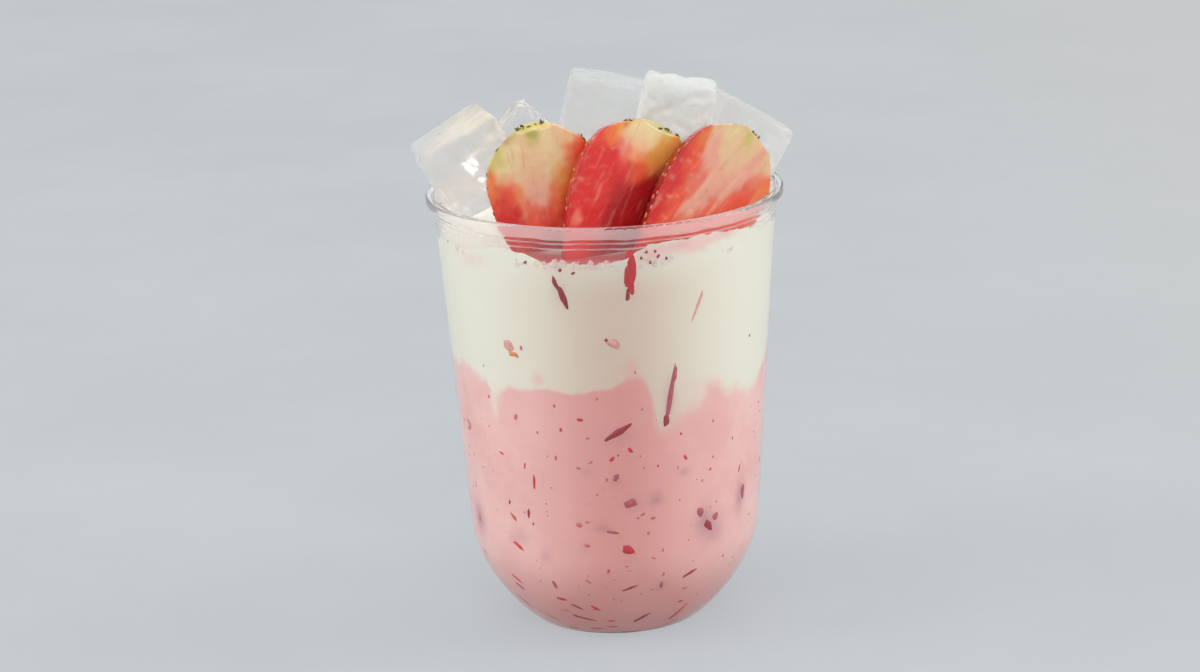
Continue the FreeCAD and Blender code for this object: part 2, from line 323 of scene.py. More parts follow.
@dataclass(frozen=True)
class GlassFinish:
    """A clear or cloudy solid: Principled transmission that lets shadow rays through.

    Args:
        roughness: How cloudy it is.
        dent_scale: Scale of the dents, or 0 for none.
        dent_depth: Bump distance in metres.
        shadow: Share of light that its shadow lets through.
        painted_light_tone: Tint of its painted peach highlights, spread in clouds, if it has any.
        edge: Tint of the painted peach highlights along its rounded edges, used with those clouds.
    """

    name: str
    colour: Colour
    ior: float
    roughness: float
    transmission: float = 1.0
    dent_scale: float = 0.0
    dent_depth: float = 0.0
    shadow: float = 1.0
    painted_light_tone: Colour | None = None
    edge: Colour = (1.0, 0.76, 0.62)
    painted_edge_share: float = 0.75
    cloud_scale: float = 45.0
    cloud_fine: float = 260.0

    def material(self, effects: SharedEffects) -> Material:
        """Build the material.

        Args:
            effects: The shared node groups.

        Returns:
            The material.
        """
        material, nodes = new_material(self.name)
        inputs = {
            "Base Color": rgba(self.colour), "IOR": self.ior, "Roughness": self.roughness,
            "Transmission Weight": self.transmission,
        }
        # Painted highlights: peach clouds over the body and a peach tint along the rounded edges stand in for
        # the peach highlights on the ice.
        if self.painted_light_tone:
            clouds = nodes.group(effects.clouds, {
                "Vector": nodes.object_coordinates(), "Low": rgba(self.colour), "High": rgba(self.painted_light_tone),
                "Scale": self.cloud_scale, "Fine": self.cloud_fine,
            })
            painted_edge_highlight = nodes.math("MULTIPLY", nodes.attribute("painted_edge_highlight"), self.painted_edge_share)
            inputs["Base Color"] = nodes.mix(painted_edge_highlight, clouds.outputs["Color"], self.edge)
        if self.dent_scale:
            dents = nodes.group(effects.dents, {
                "Vector": nodes.object_coordinates(), "Scale": self.dent_scale})
            inputs["Normal"] = nodes.bump(dents.outputs["Height"], 1.0, self.dent_depth)
        body = nodes.add("BsdfPrincipled", inputs)
        through = nodes.add("BsdfTransparent", {"Color": rgba(tuple(c * self.shadow for c in self.colour))})
        shadow_ray = nodes.add("LightPath").outputs["Is Shadow Ray"]
        mixed = nodes.add("MixShader", {0: shadow_ray, 1: body.outputs[0], 2: through.outputs[0]})
        nodes.surface(mixed.outputs[0])
        return material


@dataclass(frozen=True)
class MilkFinish:
    """Milk whose tone goes from white to pink by the mesh's own blush attribute.

    Args:
        painted_light_tone: White milk in painted shade, a darker tan down the middle of the front and near
            the bottom of the cup.
        pink_in_painted_shade: Strawberry milk in painted shade, deeper in the same places.
        blotch: Strawberry milk where more fruit is in it, which shows by blotched.
        bruise: Where a piece of berry lies just under the surface.
        red_under_slices: Dark red on the milk's top surface near the wall, at the front by the slices.
        curdle: How far the line between the layers breaks up.
    """

    name: str
    # Each layer's second tone is painted shade, used down the middle of the front and near the bottom of the
    # cup.
    white: Colour = linear(223, 224, 209)
    painted_light_tone: Colour = linear(215, 194, 177)
    pink: Colour = linear(232, 192, 187)
    pink_in_painted_shade: Colour = linear(222, 152, 145)
    blotch: Colour = linear(222, 164, 160)
    bruise: Colour = linear(178, 122, 132)
    red_under_slices: Colour = linear(196, 88, 86)
    blotched: float = 0.55
    curdle: float = 0.30
    curdle_scale: float = 700.0
    cloud_scale: float = 75.0
    cloud_fine: float = 420.0
    ripple_scale: float = 260.0
    ripple_depth: float = 0.0002

    def material(self, effects: SharedEffects) -> Material:
        """Build the material.

        Args:
            effects: The shared node groups.

        Returns:
            The material.
        """
        material, nodes = new_material(self.name)
        where = nodes.object_coordinates()
        rough = nodes.noise(where, self.curdle_scale, 3.0, 0.6)
        curdle = nodes.math("MULTIPLY_ADD", rough, self.curdle, -self.curdle / 2)
        share = nodes.rise(nodes.math("ADD", nodes.attribute("blush"), curdle), 0.10, 0.90)
        # Painted shade: where this attribute is high, both layers take their darker shaded tones.
        painted_shade = nodes.attribute("painted_shade")
        white = nodes.mix(painted_shade, self.white, self.painted_light_tone)
        pink = nodes.mix(painted_shade, self.pink, self.pink_in_painted_shade)
        clouds = nodes.group(effects.clouds, {
            "Vector": where, "Scale": self.cloud_scale, "Fine": self.cloud_fine})
        pink = nodes.mix(nodes.math("MULTIPLY", clouds.outputs["Mask"], self.blotched), pink, self.blotch)
        tone = nodes.mix(share, white, pink)
        tone = nodes.mix(nodes.attribute("bruise"), tone, self.bruise)
        tone = nodes.mix(nodes.attribute("red_under_slices"), tone, self.red_under_slices)
        ripple = nodes.bump(nodes.noise(where, self.ripple_scale), 0.25, self.ripple_depth)
        body = nodes.add("BsdfPrincipled", {
            "Base Color": tone, "Roughness": 0.32, "IOR": 1.35, "Normal": ripple})
        nodes.surface(body.outputs[0])
        return material


@dataclass(frozen=True)
class FleshFinish:
    """Wet cut strawberry: painted tones, pale fibres along the grain and glossy skin.

    Args:
        fibre: Tone of the pale fibres, which show by pale_share.
        deep: Tone between the fibres, which shows by dark_share.
        relief: Bump distance in metres.
    """

    name: str
    fibre: Colour = linear(244, 196, 170)
    deep: Colour = linear(176, 26, 30)
    pale_share: float = 0.18
    dark_share: float = 0.22
    fine_scale: float = 1100.0
    relief: float = 0.0004
    cut_roughness: float = 0.34
    skin_roughness: float = 0.18

    def material(self) -> Material:
        """Build the material.

        Returns:
            The material.
        """
        material, nodes = new_material(self.name)
        skin = nodes.attribute("skin")
        streak = nodes.noise(nodes.attribute("grain", "Vector"), 1.0, 3.0, 0.55)
        bright = nodes.math("MULTIPLY", nodes.rise(streak, 0.50, 0.80), nodes.math("SUBTRACT", 1.0, skin))
        pale = nodes.math("MULTIPLY", bright, self.pale_share)
        dark = nodes.math("MULTIPLY", nodes.rise(streak, 0.46, 0.24), self.dark_share)
        colour = nodes.mix(dark, nodes.attribute("tone", "Color"), self.deep)
        colour = nodes.mix(pale, colour, self.fibre)
        fine = nodes.noise(nodes.object_coordinates(), self.fine_scale, 3.0)
        height = nodes.math("ADD", nodes.math("MULTIPLY", streak, 0.8), nodes.math("MULTIPLY", fine, 0.40))
        rough = nodes.math("MULTIPLY_ADD", skin, self.skin_roughness - self.cut_roughness, self.cut_roughness)
        body = nodes.add("BsdfPrincipled", {
            "Base Color": colour, "Roughness": rough, "IOR": 1.38,
            "Normal": nodes.bump(height, 0.60, self.relief), "Coat Weight": 0.55, "Coat Roughness": 0.06,
        })
        nodes.surface(body.outputs[0])
        return material


@dataclass(frozen=True)
class TintFinish:
    """Small pieces whose tone is painted on each of them, with an amount of mottle over it."""

    name: str
    roughness: float = 0.35
    mottle: Colour = linear(120, 24, 30)
    amount: float = 0.3
    scale: float = 900.0

    def material(self, effects: SharedEffects) -> Material:
        """Build the material.

        Args:
            effects: The shared node groups.

        Returns:
            The material.
        """
        material, nodes = new_material(self.name)
        where = nodes.object_coordinates()
        clouds = nodes.group(effects.clouds, {"Vector": where, "Scale": self.scale, "Fine": 4 * self.scale})
        share = nodes.math("MULTIPLY", clouds.outputs["Mask"], self.amount)
        colour = nodes.mix(share, nodes.attribute("tone", "Color"), self.mottle)
        normal = nodes.bump(nodes.noise(where, 2 * self.scale), 0.4, 0.0002)
        body = nodes.add("BsdfPrincipled", {
            "Base Color": colour, "Roughness": self.roughness, "IOR": 1.4, "Normal": normal})
        nodes.surface(body.outputs[0])
        return material


# --- Meshes


def new_object(name: str, data: Any) -> Object:
    """A new object in the scene.

    Args:
        name: Its name.
        data: Its mesh, camera or lamp.

    Returns:
        The object.
    """
    made = bpy.data.objects.new(name, data)
    bpy.context.scene.collection.objects.link(made)
    return made


def new_piece(name: str, bm: BMesh) -> Object:
    """A new object in the scene, made of a bmesh, which is freed.

    Args:
        name: Its name.
        bm: Its shape.

    Returns:
        The object.
    """
    mesh = bpy.data.meshes.new(name)
    bm.to_mesh(mesh)
    bm.free()
    return new_object(name, mesh)


def discard(piece: Object) -> None:
    """Remove an object and its mesh.

    Args:
        piece: The object.
    """
    mesh = piece.data
    bpy.data.objects.remove(piece)
    bpy.data.meshes.remove(mesh)


def add_piece(name: str, bm: BMesh, material: Material, replaces: Sequence[str] = ()) -> Object:
    """Make a finished piece of a bmesh and report it.

    Args:
        name: The piece's name.
        bm: Its shape in metres, in the part's frame. It is freed.
        material: Its finish.
        replaces: The CAD nodes that it stands for.

    Returns:
        The new object.
    """
    piece = new_piece(name, bm)
    mesh = piece.data
    mesh.polygons.foreach_set("use_smooth", [True] * len(mesh.polygons))
    mesh.set_sharp_from_angle(angle=SHARP_ANGLE)
    mesh.materials.append(material)
    if replaces:
        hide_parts(*replaces)
    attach(piece, "root")
    log.info("%s: %d faces", name, len(mesh.polygons))
    return piece


def merged_copy(node: Object) -> BMesh:
    """A copy of a CAD node's mesh with its loose triangles joined.

    Args:
        node: The CAD node.

    Returns:
        The copy.
    """
    bm = bmesh.new()
    bm.from_mesh(node.data)
    bmesh.ops.remove_doubles(bm, verts=bm.verts, dist=WELD)
    bmesh.ops.dissolve_degenerate(bm, edges=bm.edges, dist=WELD / 20)
    return bm


def with_modifier(bm: BMesh, kind: str, **settings: Any) -> BMesh:
    """Apply one modifier to a bmesh.

    Args:
        bm: The shape. It is freed.
        kind: The modifier's type.
        settings: The modifier's properties.

    Returns:
        The shape with the modifier applied.
    """
    work = new_piece("work", bm)
    modifier = work.modifiers.new("work", kind)
    for name, value in settings.items():
        setattr(modifier, name, value)
    bpy.context.view_layer.update()
    done = work.evaluated_get(bpy.context.evaluated_depsgraph_get())
    result = bmesh.new()
    result.from_mesh(done.to_mesh())
    done.to_mesh_clear()
    discard(work)
    return result


def softened(node: Object, voxel: float, rounds: int, factor: float) -> tuple[BMesh, Array]:
    """A CAD node's shape in an even mesh with its edges rounded off.

    Args:
        node: The CAD node.
        voxel: Size of the mesh's faces in millimetres.
        rounds: Rounds of smoothing.
        factor: Strength of each round.

    Returns:
        The shape, and where its vertices were before the smoothing, in millimetres.
    """
    bm = with_modifier(merged_copy(node), "REMESH", mode="VOXEL", voxel_size=voxel * MM)
    before = coordinates(bm)
    for _ in range(rounds):
        bmesh.ops.smooth_vert(bm, verts=bm.verts, factor=factor, use_axis_x=True, use_axis_y=True,
                              use_axis_z=True)
    bm.normal_update()
    return bm, before


def spun(profile: Iterable[tuple[float, float]], steps: int) -> BMesh:
    """A closed solid of revolution about Z from (radius, height) points in millimetres.

    Args:
        profile: The points, in order.
        steps: Faces round the solid.

    Returns:
        The solid.
    """
    bm = bmesh.new()
    verts = [bm.verts.new((r * MM, 0, z * MM)) for r, z in profile]
    edges = [bm.edges.new(pair) for pair in zip(verts, verts[1:])]
    bmesh.ops.spin(bm, geom=verts + edges, cent=(0, 0, 0), axis=(0, 0, 1), dvec=(0, 0, 0),
                   angle=math.tau, steps=steps, use_merge=True, use_normal_flip=False, use_duplicate=False)
    bmesh.ops.remove_doubles(bm, verts=bm.verts, dist=WELD / 2)
    bmesh.ops.recalc_face_normals(bm, faces=bm.faces)
    return bm


def coordinates(bm: BMesh) -> Array:
    """The vertices' places in millimetres, one row each."""
    return np.array([v.co[:] for v in bm.verts], float) / MM


def normals_of(bm: BMesh) -> Array:
    """The vertices' normals, one row each."""
    return np.array([v.normal[:] for v in bm.verts])


def move_to(bm: BMesh, places: Array) -> None:
    """Set the vertices' places, in millimetres."""
    for vert, place in zip(bm.verts, places * MM):
        vert.co = place


def oriented(place: Vector, x: Vector, y: Vector, z: Vector) -> Matrix:
    """The matrix that carries the three axes to the given vectors at a place.

    Args:
        place: The place.
        x: Where the first axis goes.
        y: Where the second one goes.
        z: Where the third one goes.

    Returns:
        The matrix.
    """
    frame = Matrix((x, y, z)).transposed().to_4x4()
    frame.translation = place
    return frame


def add_ball(bm: BMesh, frame: Matrix, subdivisions: int = 2, radius: float = 1.0) -> list[Any]:
    """Add a stretched ball and return its vertices."""
    made = bmesh.ops.create_icosphere(bm, subdivisions=subdivisions, radius=radius, matrix=frame)
    return made["verts"]


def paint(piece: Object, name: str, values: Array) -> None:
    """Store a value, a vector or a colour on each vertex.

    Args:
        piece: The piece.
        name: The attribute's name.
        values: One value or row for each vertex.
    """
    kinds = {1: ("FLOAT", "value"), 3: ("FLOAT_VECTOR", "vector"), 4: ("FLOAT_COLOR", "color")}
    kind, key = kinds[values.size // len(values)]
    attribute = piece.data.attributes.new(name, kind, "POINT")
    attribute.data.foreach_set(key, values.astype(np.float32).ravel())


# --- The cup


@dataclass
class Cup:
    """The thermoformed cup. Sizes in millimetres, as in the part's source."""

    height: float = 118.0
    floor: float = 1.0
    recess: float = 1.0
    recess_radius: float = 19.4
    land_radius: float = 20.8
    foot_radius: float = 23.1
    heel: float = 0.8
    bowl_height: float = 27.0
    bowl_radius: float = 38.5
    bowl_fullness: float = 0.55
    step_height: float = 112.8
    step_radius: float = 44.6
    mouth_radius: float = 45.05
    collar_height: float = 114.4
    bowl: Array = field(init=False)

    def __post_init__(self) -> None:
        drop = (self.bowl_height - self.floor) * self.bowl_fullness
        poles = np.array([
            (self.foot_radius, self.floor), (self.foot_radius + self.heel, self.floor),
            (self.bowl_radius - self.slope * drop, self.bowl_height - drop),
            (self.bowl_radius, self.bowl_height),
        ])
        t = np.linspace(0, 1, 61)[:, None]
        self.bowl = ((1 - t) ** 3 * poles[0] + 3 * (1 - t) ** 2 * t * poles[1]
                     + 3 * (1 - t) * t * t * poles[2] + t ** 3 * poles[3])

    @property
    def slope(self) -> float:
        """How far the wall leans out for each millimetre up."""
        return (self.step_radius - self.bowl_radius) / (self.step_height - self.bowl_height)

    def inner_radius(self, z: Any) -> Any:
        """The inside's radius at a height, for a number or an array.

        Args:
            z: The height.

        Returns:
            The radius.
        """
        straight = self.bowl_radius + self.slope * (np.asarray(z, float) - self.bowl_height)
        bowl = np.interp(z, self.bowl[:, 1], self.bowl[:, 0])
        return np.where(np.asarray(z) < self.bowl_height, bowl, straight)

    def depth(self, places: Array, z: float) -> Array:
        """How far places lie in from the wall as it is at one height, never below 0."""
        return np.maximum(float(self.inner_radius(z)) - radii_of(places), 0)

    def wall_frame(self, bearing: float, z: float) -> tuple[Vector, tuple[Vector, Vector, Vector]]:
        """A place on the inside of the wall.

        Args:
            bearing: Degrees from the front, towards +X.
            z: Height.

        Returns:
            The point, and the sideways, upward and outward directions there.
        """
        turn = math.radians(bearing)
        rise = float(self.inner_radius(z + 0.5) - self.inner_radius(z - 0.5))
        out = Vector((math.sin(turn), -math.cos(turn), 0))
        up = (out * rise + Vector((0, 0, 1))).normalized()
        side = Vector((math.cos(turn), math.sin(turn), 0))
        radius = float(self.inner_radius(z))
        return Vector((out.x * radius, out.y * radius, z)), (side, up, side.cross(up).normalized())

    def dress(self, node: Object, effects: SharedEffects) -> None:
        """Give the CAD cup its clear plastic.

        Args:
            node: The CAD node.
            effects: The shared node groups.
        """
        finish = GlassFinish("clear_plastic", (0.992, 0.98, 0.975), 1.28, 0.09, transmission=0.97,
                             shadow=0.97)
        node.data.materials.clear()
        node.data.materials.append(finish.material(effects))
        log.info("cup: clear plastic on the CAD node")


# --- The drink


@dataclass(frozen=True)
class Lobe:
    """Where one layer runs into the other at the wall: bearing, rise and half width in degrees."""

    bearing: float
    rise: float
    half_width: float


@dataclass(frozen=True)
class Patch:
    """A soft patch on the wall: bearing, height, half width and half height in millimetres, and strength."""

    bearing: float
    z: float
    wide: float
    high: float
    amount: float


def patches(*rows: tuple[float, float, float, float, float]) -> tuple[Patch, ...]:
    """Patches from rows of bearing, height, half width, half height and strength."""
    return tuple(Patch(*row) for row in rows)


@dataclass
class Drink:
    """Both layers of milk, cut round what stands in them. Sizes in millimetres.

    Args:
        boundary: Height of the middle of the line between the layers.
        into_wall: How far the milk reaches into the plastic, so that no gap shows.
        shaped_from: Height above which the pink layer follows the line between the layers.
        lip_milk_and_highlight_bands: Lowest and highest place and rows of each band on the rim: a thin smear
            of milk inside the lip, then two fine pale lines in the rim's corners that are painted highlights.
        edge: Bearing, height and softness of the painted line between pink and white.
        blushes: Where the milk is pinker than its layer, and cleared where it is whiter.
        bruises: Where a piece of berry lies just under the surface.
        wall_line: Bearing, and how far the milk stands above its level at the wall.
    """

    cup: Cup
    level: float
    boundary: float
    into_wall: float = 0.13
    into_solids: float = 0.10
    steps: int = 288
    shaped_from: float = 46.0
    lobe_reach: float = 12.0
    meniscus: float = 0.9
    top_band: float = 5.0
    film_depth: float = 0.16
    # The first band is milk in the lip; the two fine bands are painted highlights of the rim's bright lines.
    lip_milk_and_highlight_bands: tuple[tuple[float, float, int], ...] = (
        (114.5, 116.9, 6), (113.4, 113.75, 2), (111.85, 112.15, 2))
    lobes: tuple[Lobe, ...] = tuple(Lobe(*row) for row in (
        (-80, -2.5, 14), (-47, -8.5, 6), (-26, 1.5, 9), (12.5, 4, 4.5), (25, -11, 7.5), (55, -2, 10),
        (84, -5, 12), (118, 3, 12), (150, -7, 9), (180, 2.5, 11), (-150, -9, 8), (-115, 3.5, 10),
    ))
    edge: tuple[tuple[float, float, float], ...] = (
        (-180, 75, 1.5), (-165, 73.5, 1.2), (-152, 66, 2.5), (-143, 71, 1.5), (-120, 75.5, 1.2),
        (-105, 73, 1.5), (-84, 75, 2), (-61, 75.3, 2.2), (-54.6, 74.6, 2), (-50.7, 73.2, 2), (-47.5, 71, 2.4),
        (-43, 71.4, 1.8), (-40, 72.6, 1.2), (-34, 73, 0.8), (-22, 73.8, 0.6), (-14.7, 73, 0.45),
        (-9.3, 73.3, 0.45), (-3.9, 74.1, 0.5), (3.2, 75.4, 0.8), (9, 77, 1.6), (12, 76, 1.8), (14.2, 72, 2.6),
        (16.5, 69.5, 4.4), (20, 68.5, 5.5), (25, 69.5, 6), (30, 71.5, 5.5), (35, 72.5, 4.2), (40, 71.8, 3.4),
        (47, 69.5, 3), (55, 67.6, 2.4), (66, 68, 2.4), (77, 72, 2.4), (88, 78, 3), (100, 75, 1.5),
        (125, 75.5, 1.2), (142, 73, 1.5), (151, 66, 2.5), (160, 73, 1.5), (180, 75, 1.5),
    )
    blushes: tuple[Patch, ...] = patches(
        (-26.5, 76.5, 2.4, 2.2, 0.6), (7, 80, 2.8, 3.6, 0.45), (0.5, 79.5, 2.4, 1.6, 0.28),
        (32, 85.6, 1.6, 4.5, 0.26), (-52, 106.5, 9, 3.5, 0.4), (-33, 99.6, 4, 4, 0.1), (65, 107, 7, 5, 0.2),
        (38, 105.5, 9, 2.5, 0.2), (-20, 105, 12, 2, 0.26), (28, 111.2, 8, 2, 0.95), (14, 110, 4.5, 2.4, 0.6),
        (8.5, 101.5, 2.8, 5.5, 0.35), (44, 112.5, 6, 1.6, 0.6), (-12, 107.5, 14, 1.2, 0.45),
        (52, 109, 3, 2, 0.25), (80, 84, 3, 9, 0.35), (140, 84, 5, 7, 0.3), (-160, 90, 4, 8, 0.25),
        (170, 80, 3, 5, 0.4),
    )
    cleared: tuple[Patch, ...] = patches(
        (-4.1, 69.4, 1, 2, 0.3), (16.8, 67, 1.8, 5.5, 0.52), (20.5, 64.5, 3, 4.5, 0.45),
        (27, 67.5, 3.4, 4.5, 0.3), (34, 67, 4, 5, 0.25), (-47, 68, 1.7, 4, 0.5), (-46.5, 61.5, 2.2, 6, 0.3),
        (-52, 68, 3, 4.5, 0.22), (24, 56, 4.5, 4, 0.16), (60, 64, 9, 5, 0.22), (-75, 66, 6, 6, 0.25),
        (-58, 62, 4, 6, 0.18), (152, 60, 2, 5, 0.4), (-148, 60, 2.5, 5, 0.4),
    )
    bruises: tuple[Patch, ...] = patches(
        (-68, 31.5, 3, 4.2, 0.8), (-40, 31, 2.4, 2.4, 0.4), (41, 31, 5, 4.5, 0.55), (57, 37.5, 2.2, 4.6, 0.7),
        (15.5, 43, 1.7, 1.6, 0.75), (-5, 36, 2.4, 1.2, 0.5), (-29, 26.5, 1.6, 1.6, 0.3),
        (18.4, 17.5, 1.2, 1.4, 0.45), (27, 49.5, 1.5, 1.1, 0.45), (7, 42.5, 2.2, 1.8, 0.45),
        (36, 35.5, 2.6, 3.4, 0.55), (0.5, 49, 1.5, 1.5, 0.35), (2, 61.5, 3.6, 2.6, 0.3),
        (21, 70, 1.6, 6.5, 0.35), (-10, 51.5, 1.5, 1, 0.3), (-12, 30, 1.6, 1, 0.3), (-45, 30, 1.4, 2, 0.3),
        (-16, 101, 1.6, 3.6, 0.25), (130, 38, 4, 4, 0.45), (-140, 30, 4.5, 4, 0.45), (175, 45, 3, 3, 0.4),
    )
    wall_line: tuple[tuple[float, float], ...] = (
        (-180, 0.2), (-120, 0.6), (-95, -0.4), (-73, -0.4), (-52, 0.6), (-42, 2.4), (-33, 2.8), (-29.6, 1.8),
        (-25.6, 1.4), (-23, 0.3), (-21, -0.5), (-18, 0), (-15.5, -0.4), (-12, 0), (-9.8, -0.3), (-7.5, 0.1),
        (-5.6, -0.5), (-2, -0.1), (1, -0.2), (3.6, 0.5), (6, 1), (10, 2.6), (14, 4.4), (21, 4.2), (28.5, 4.9),
        (41, 4.6), (54, 3.6), (77, 1.2), (120, -0.3), (150, 0.6), (180, 0.2),
    )

    def boundary_shift(self, places: Array) -> Array:
        """How far the line between the layers lies above the middle of it.

        Args:
            places: Places, one row each.

        Returns:
            The shift at each place.
        """
        bearing = bearings_of(places)
        near_wall = bell(self.cup.depth(places, self.boundary) / self.lobe_reach)
        height = np.full_like(bearing, self.boundary)
        for lobe in self.lobes:
            height += near_wall * lobe.rise * bell(turned_from(bearing, lobe.bearing) / lobe.half_width)
        return height - self.boundary

    @staticmethod
    def strength(places: Array, soft_patches: Iterable[Patch]) -> Array:
        """Total strength of soft patches at places.

        Args:
            places: Places, one row each.
            soft_patches: The patches.

        Returns:
            The strength at each place.
        """
        bearing, radius = bearings_of(places), radii_of(places)
        total = np.zeros(len(places))
        for patch in soft_patches:
            across = np.radians(turned_from(bearing, patch.bearing)) * radius / patch.wide
            up = (places[:, 2] - patch.z) / patch.high
            total += patch.amount * np.exp(-(across ** 2 + up ** 2))
        return total

    def wall_rings(self, low: float, high: float, step: float) -> list[tuple[float, float]]:
        """Profile points up the wall, just inside the plastic."""
        heights = np.linspace(low, high, max(2, round((high - low) / step)))
        return [(float(self.cup.inner_radius(z)) + self.into_wall, float(z)) for z in heights]

    def cut(self, bm: BMesh, solids: Sequence[Object]) -> BMesh:
        """Cut slightly shrunken copies of the solids out of a layer.

        Args:
            bm: The layer. It is freed.
            solids: The solids.

        Returns:
            The layer with them cut out.
        """
        for solid in solids:
            shape = merged_copy(solid)
            shape.normal_update()
            for vert in shape.verts:
                vert.co -= vert.normal * self.into_solids * MM
            cutter = new_piece("cutter", shape)
            bm = with_modifier(bm, "BOOLEAN", operation="DIFFERENCE", solver="MANIFOLD", object=cutter)
            discard(cutter)
        return bm

    def pink_layer(self) -> BMesh:
        """The strawberry layer, up to the line between the layers.

        Returns:
            The layer.
        """
        cup, low = self.cup, self.cup.floor
        floor = [(r, z - self.into_wall) for r, z in (
            (0.0, low + cup.recess), (cup.recess_radius, low + cup.recess), (cup.land_radius, low))]
        bowl = [(float(r) + self.into_wall, float(z) - self.into_wall) for r, z in cup.bowl[1:-1:2]]
        wall = (self.wall_rings(cup.bowl_height, self.shaped_from, 1.6)
                + self.wall_rings(self.shaped_from + 0.9, self.boundary, 0.9))
        top = [(wall[-1][0] * share, self.boundary) for share in np.linspace(0.97, 0, 26)]
        bm = spun(floor + bowl + wall + top, self.steps)
        places = coordinates(bm)
        weight = smoothstep(self.shaped_from, self.boundary - 2, places[:, 2])
        self.lift(places, self.boundary_shift(places) * weight)
        move_to(bm, places)
        return bm

    def white_layer(self, solids: Sequence[Object]) -> BMesh:
        """The white layer, from the line between the layers to the surface, drawn up the wall at its rim.

        Args:
            solids: The ice and fruit that stand in the milk.

        Returns:
            The layer, not yet cut.
        """
        base, level = self.boundary, self.level
        wall = self.wall_rings(base, level, 0.9)
        bottom = [(wall[0][0] * share, base) for share in np.linspace(0, 0.97, 20)]
        top = [(wall[-1][0] * share, level) for share in 1 - np.linspace(0.004, 1, 64) ** 1.35]
        bm = spun(bottom + wall + top, self.steps)
        places = coordinates(bm)
        low = 1 - smoothstep(base + 2, level - 6, places[:, 2])
        high = smoothstep(level - self.top_band, level - 0.2, places[:, 2])
        self.lift(places, self.boundary_shift(places) * low + self.surface_rise(places, solids) * high)
        move_to(bm, places)
        return bm

    def surface_rise(self, places: Array, solids: Sequence[Object]) -> Array:
        """How far the surface stands above its level: wall line, ripples and the climb up each solid.

        Args:
            places: Places, one row each.
            solids: The ice and fruit that stand in the milk.

        Returns:
            The rise at each place.
        """
        line_fade, climb_fade, ripple_fade, climb_reach = 3.0, 1.1, 1.5, 4 * MM
        line = np.interp(bearings_of(places), *zip(*self.wall_line))
        depth = self.cup.depth(places, self.level)
        rise = line * np.exp(-depth / line_fade) + self.meniscus * 0.4 * np.exp(-depth / climb_fade)
        top = places[:, 2] > self.level - self.top_band
        swell, ripple = noise_field(places[top], 7.0, 3.1), noise_field(places[top], 2.3, 6.4)
        rise[top] += 0.35 * swell
        rise[top] += 0.75 * ripple * np.exp(-depth[top] / ripple_fade)
        for solid in solids:
            shape = merged_copy(solid)
            tree = BVHTree.FromBMesh(shape)
            shape.free()
            for index in np.flatnonzero(top):
                distance = tree.find_nearest(Vector(places[index] * MM), climb_reach)[3]
                if distance is not None:
                    rise[index] += self.meniscus * 0.5 * math.exp(-distance / MM)
        return rise

    def lift(self, places: Array, amount: Array) -> None:
        """Raise places, and keep those at the wall on the wall.

        Args:
            places: Places, one row each. They are changed.
            amount: How far each is raised.
        """
        radius = radii_of(places)
        on_wall = (radius > self.cup.inner_radius(places[:, 2]) + self.into_wall - 0.02) & (
            places[:, 2] > self.cup.bowl_height)
        new_z = places[:, 2] + amount
        target = self.cup.inner_radius(new_z) + self.into_wall
        places[:, :2] *= np.where(on_wall, target / np.maximum(radius, 1), 1)[:, None]
        places[:, 2] = new_z

    def blush(self, places: Array) -> Array:
        """How pink the milk is: a ragged line of changing softness, with patches over it.

        Args:
            places: Places, one row each.

        Returns:
            The share of pink at each place.
        """
        bearing, z = bearings_of(places), places[:, 2]
        bearings, heights, softness = zip(*self.edge)
        height = np.interp(bearing, bearings, heights) - z
        soft = np.interp(bearing, bearings, softness)
        ragged_reach = 14
        near = np.abs(height) < ragged_reach
        broad = noise_field(places[near] * np.array([1.0, 1.0, 0.5]), 4.5, 0.7)
        ragged = np.zeros(len(places))
        ragged[near] = 0.55 * broad + 0.30 * noise_field(places[near], 1.8, 5.3)
        ragged *= 0.6 + soft
        blush = smoothstep(-1.6, 1.6, (height + ragged) / soft)
        return blush + (self.strength(places, self.blushes) - self.strength(places, self.cleared))

    def tint(self, piece: Object) -> None:
        """Paint how pink and how bruised the milk is, its painted shade, and the dark red on its top surface
        by the slices.

        Args:
            piece: The layer.
        """
        co = np.empty(len(piece.data.vertices) * 3)
        piece.data.vertices.foreach_get("co", co)
        places = co.reshape(-1, 3) / MM
        bearing, z = bearings_of(places), places[:, 2]
        # Painted shade: darker down the middle of the front below the rim, a little all round, and more near
        # the bottom of the cup.
        front = bell((bearing - 3) / 29) * smoothstep(112, 98, z)
        base_shade = 0.75 * smoothstep(24, 6, z)
        depth = self.cup.inner_radius(z) - radii_of(places)
        surface = smoothstep(self.level - 2.4, self.level - 1.6, z) * smoothstep(-0.05, 0.25, depth)
        beside = smoothstep(-40, -32, bearing) * smoothstep(18, 11, bearing)
        paint(piece, "blush", np.clip(self.blush(places), 0, 1))
        paint(piece, "painted_shade", np.clip(0.94 * front + 0.04 + base_shade, 0, 1))
        # Dark red on the top surface within about ten millimetres of the wall, at the front by the slices.
        paint(piece, "red_under_slices", 0.95 * surface * (beside * smoothstep(12.0, 7.0, depth)))
        paint(piece, "bruise", np.clip(self.strength(places, self.bruises), 0, 0.9))

    def build(self, solids: Sequence[Object], effects: SharedEffects) -> None:
        """Make and dress both layers.

        Args:
            solids: The finished ice and fruit.
            effects: The shared node groups.
        """
        sunk = [solid for solid in solids if self.dips(solid)]
        white = self.cut(self.white_layer(sunk), sunk)
        finish = MilkFinish("milk_layers").material(effects)
        self.tint(add_piece("white_milk_layer", white, finish, ["milk"]))
        pink = self.pink_layer()
        self.tint(add_piece("strawberry_milk_layer", pink, finish, ["strawberry_milk"]))
        self.add_lip_milk_and_highlights(effects)

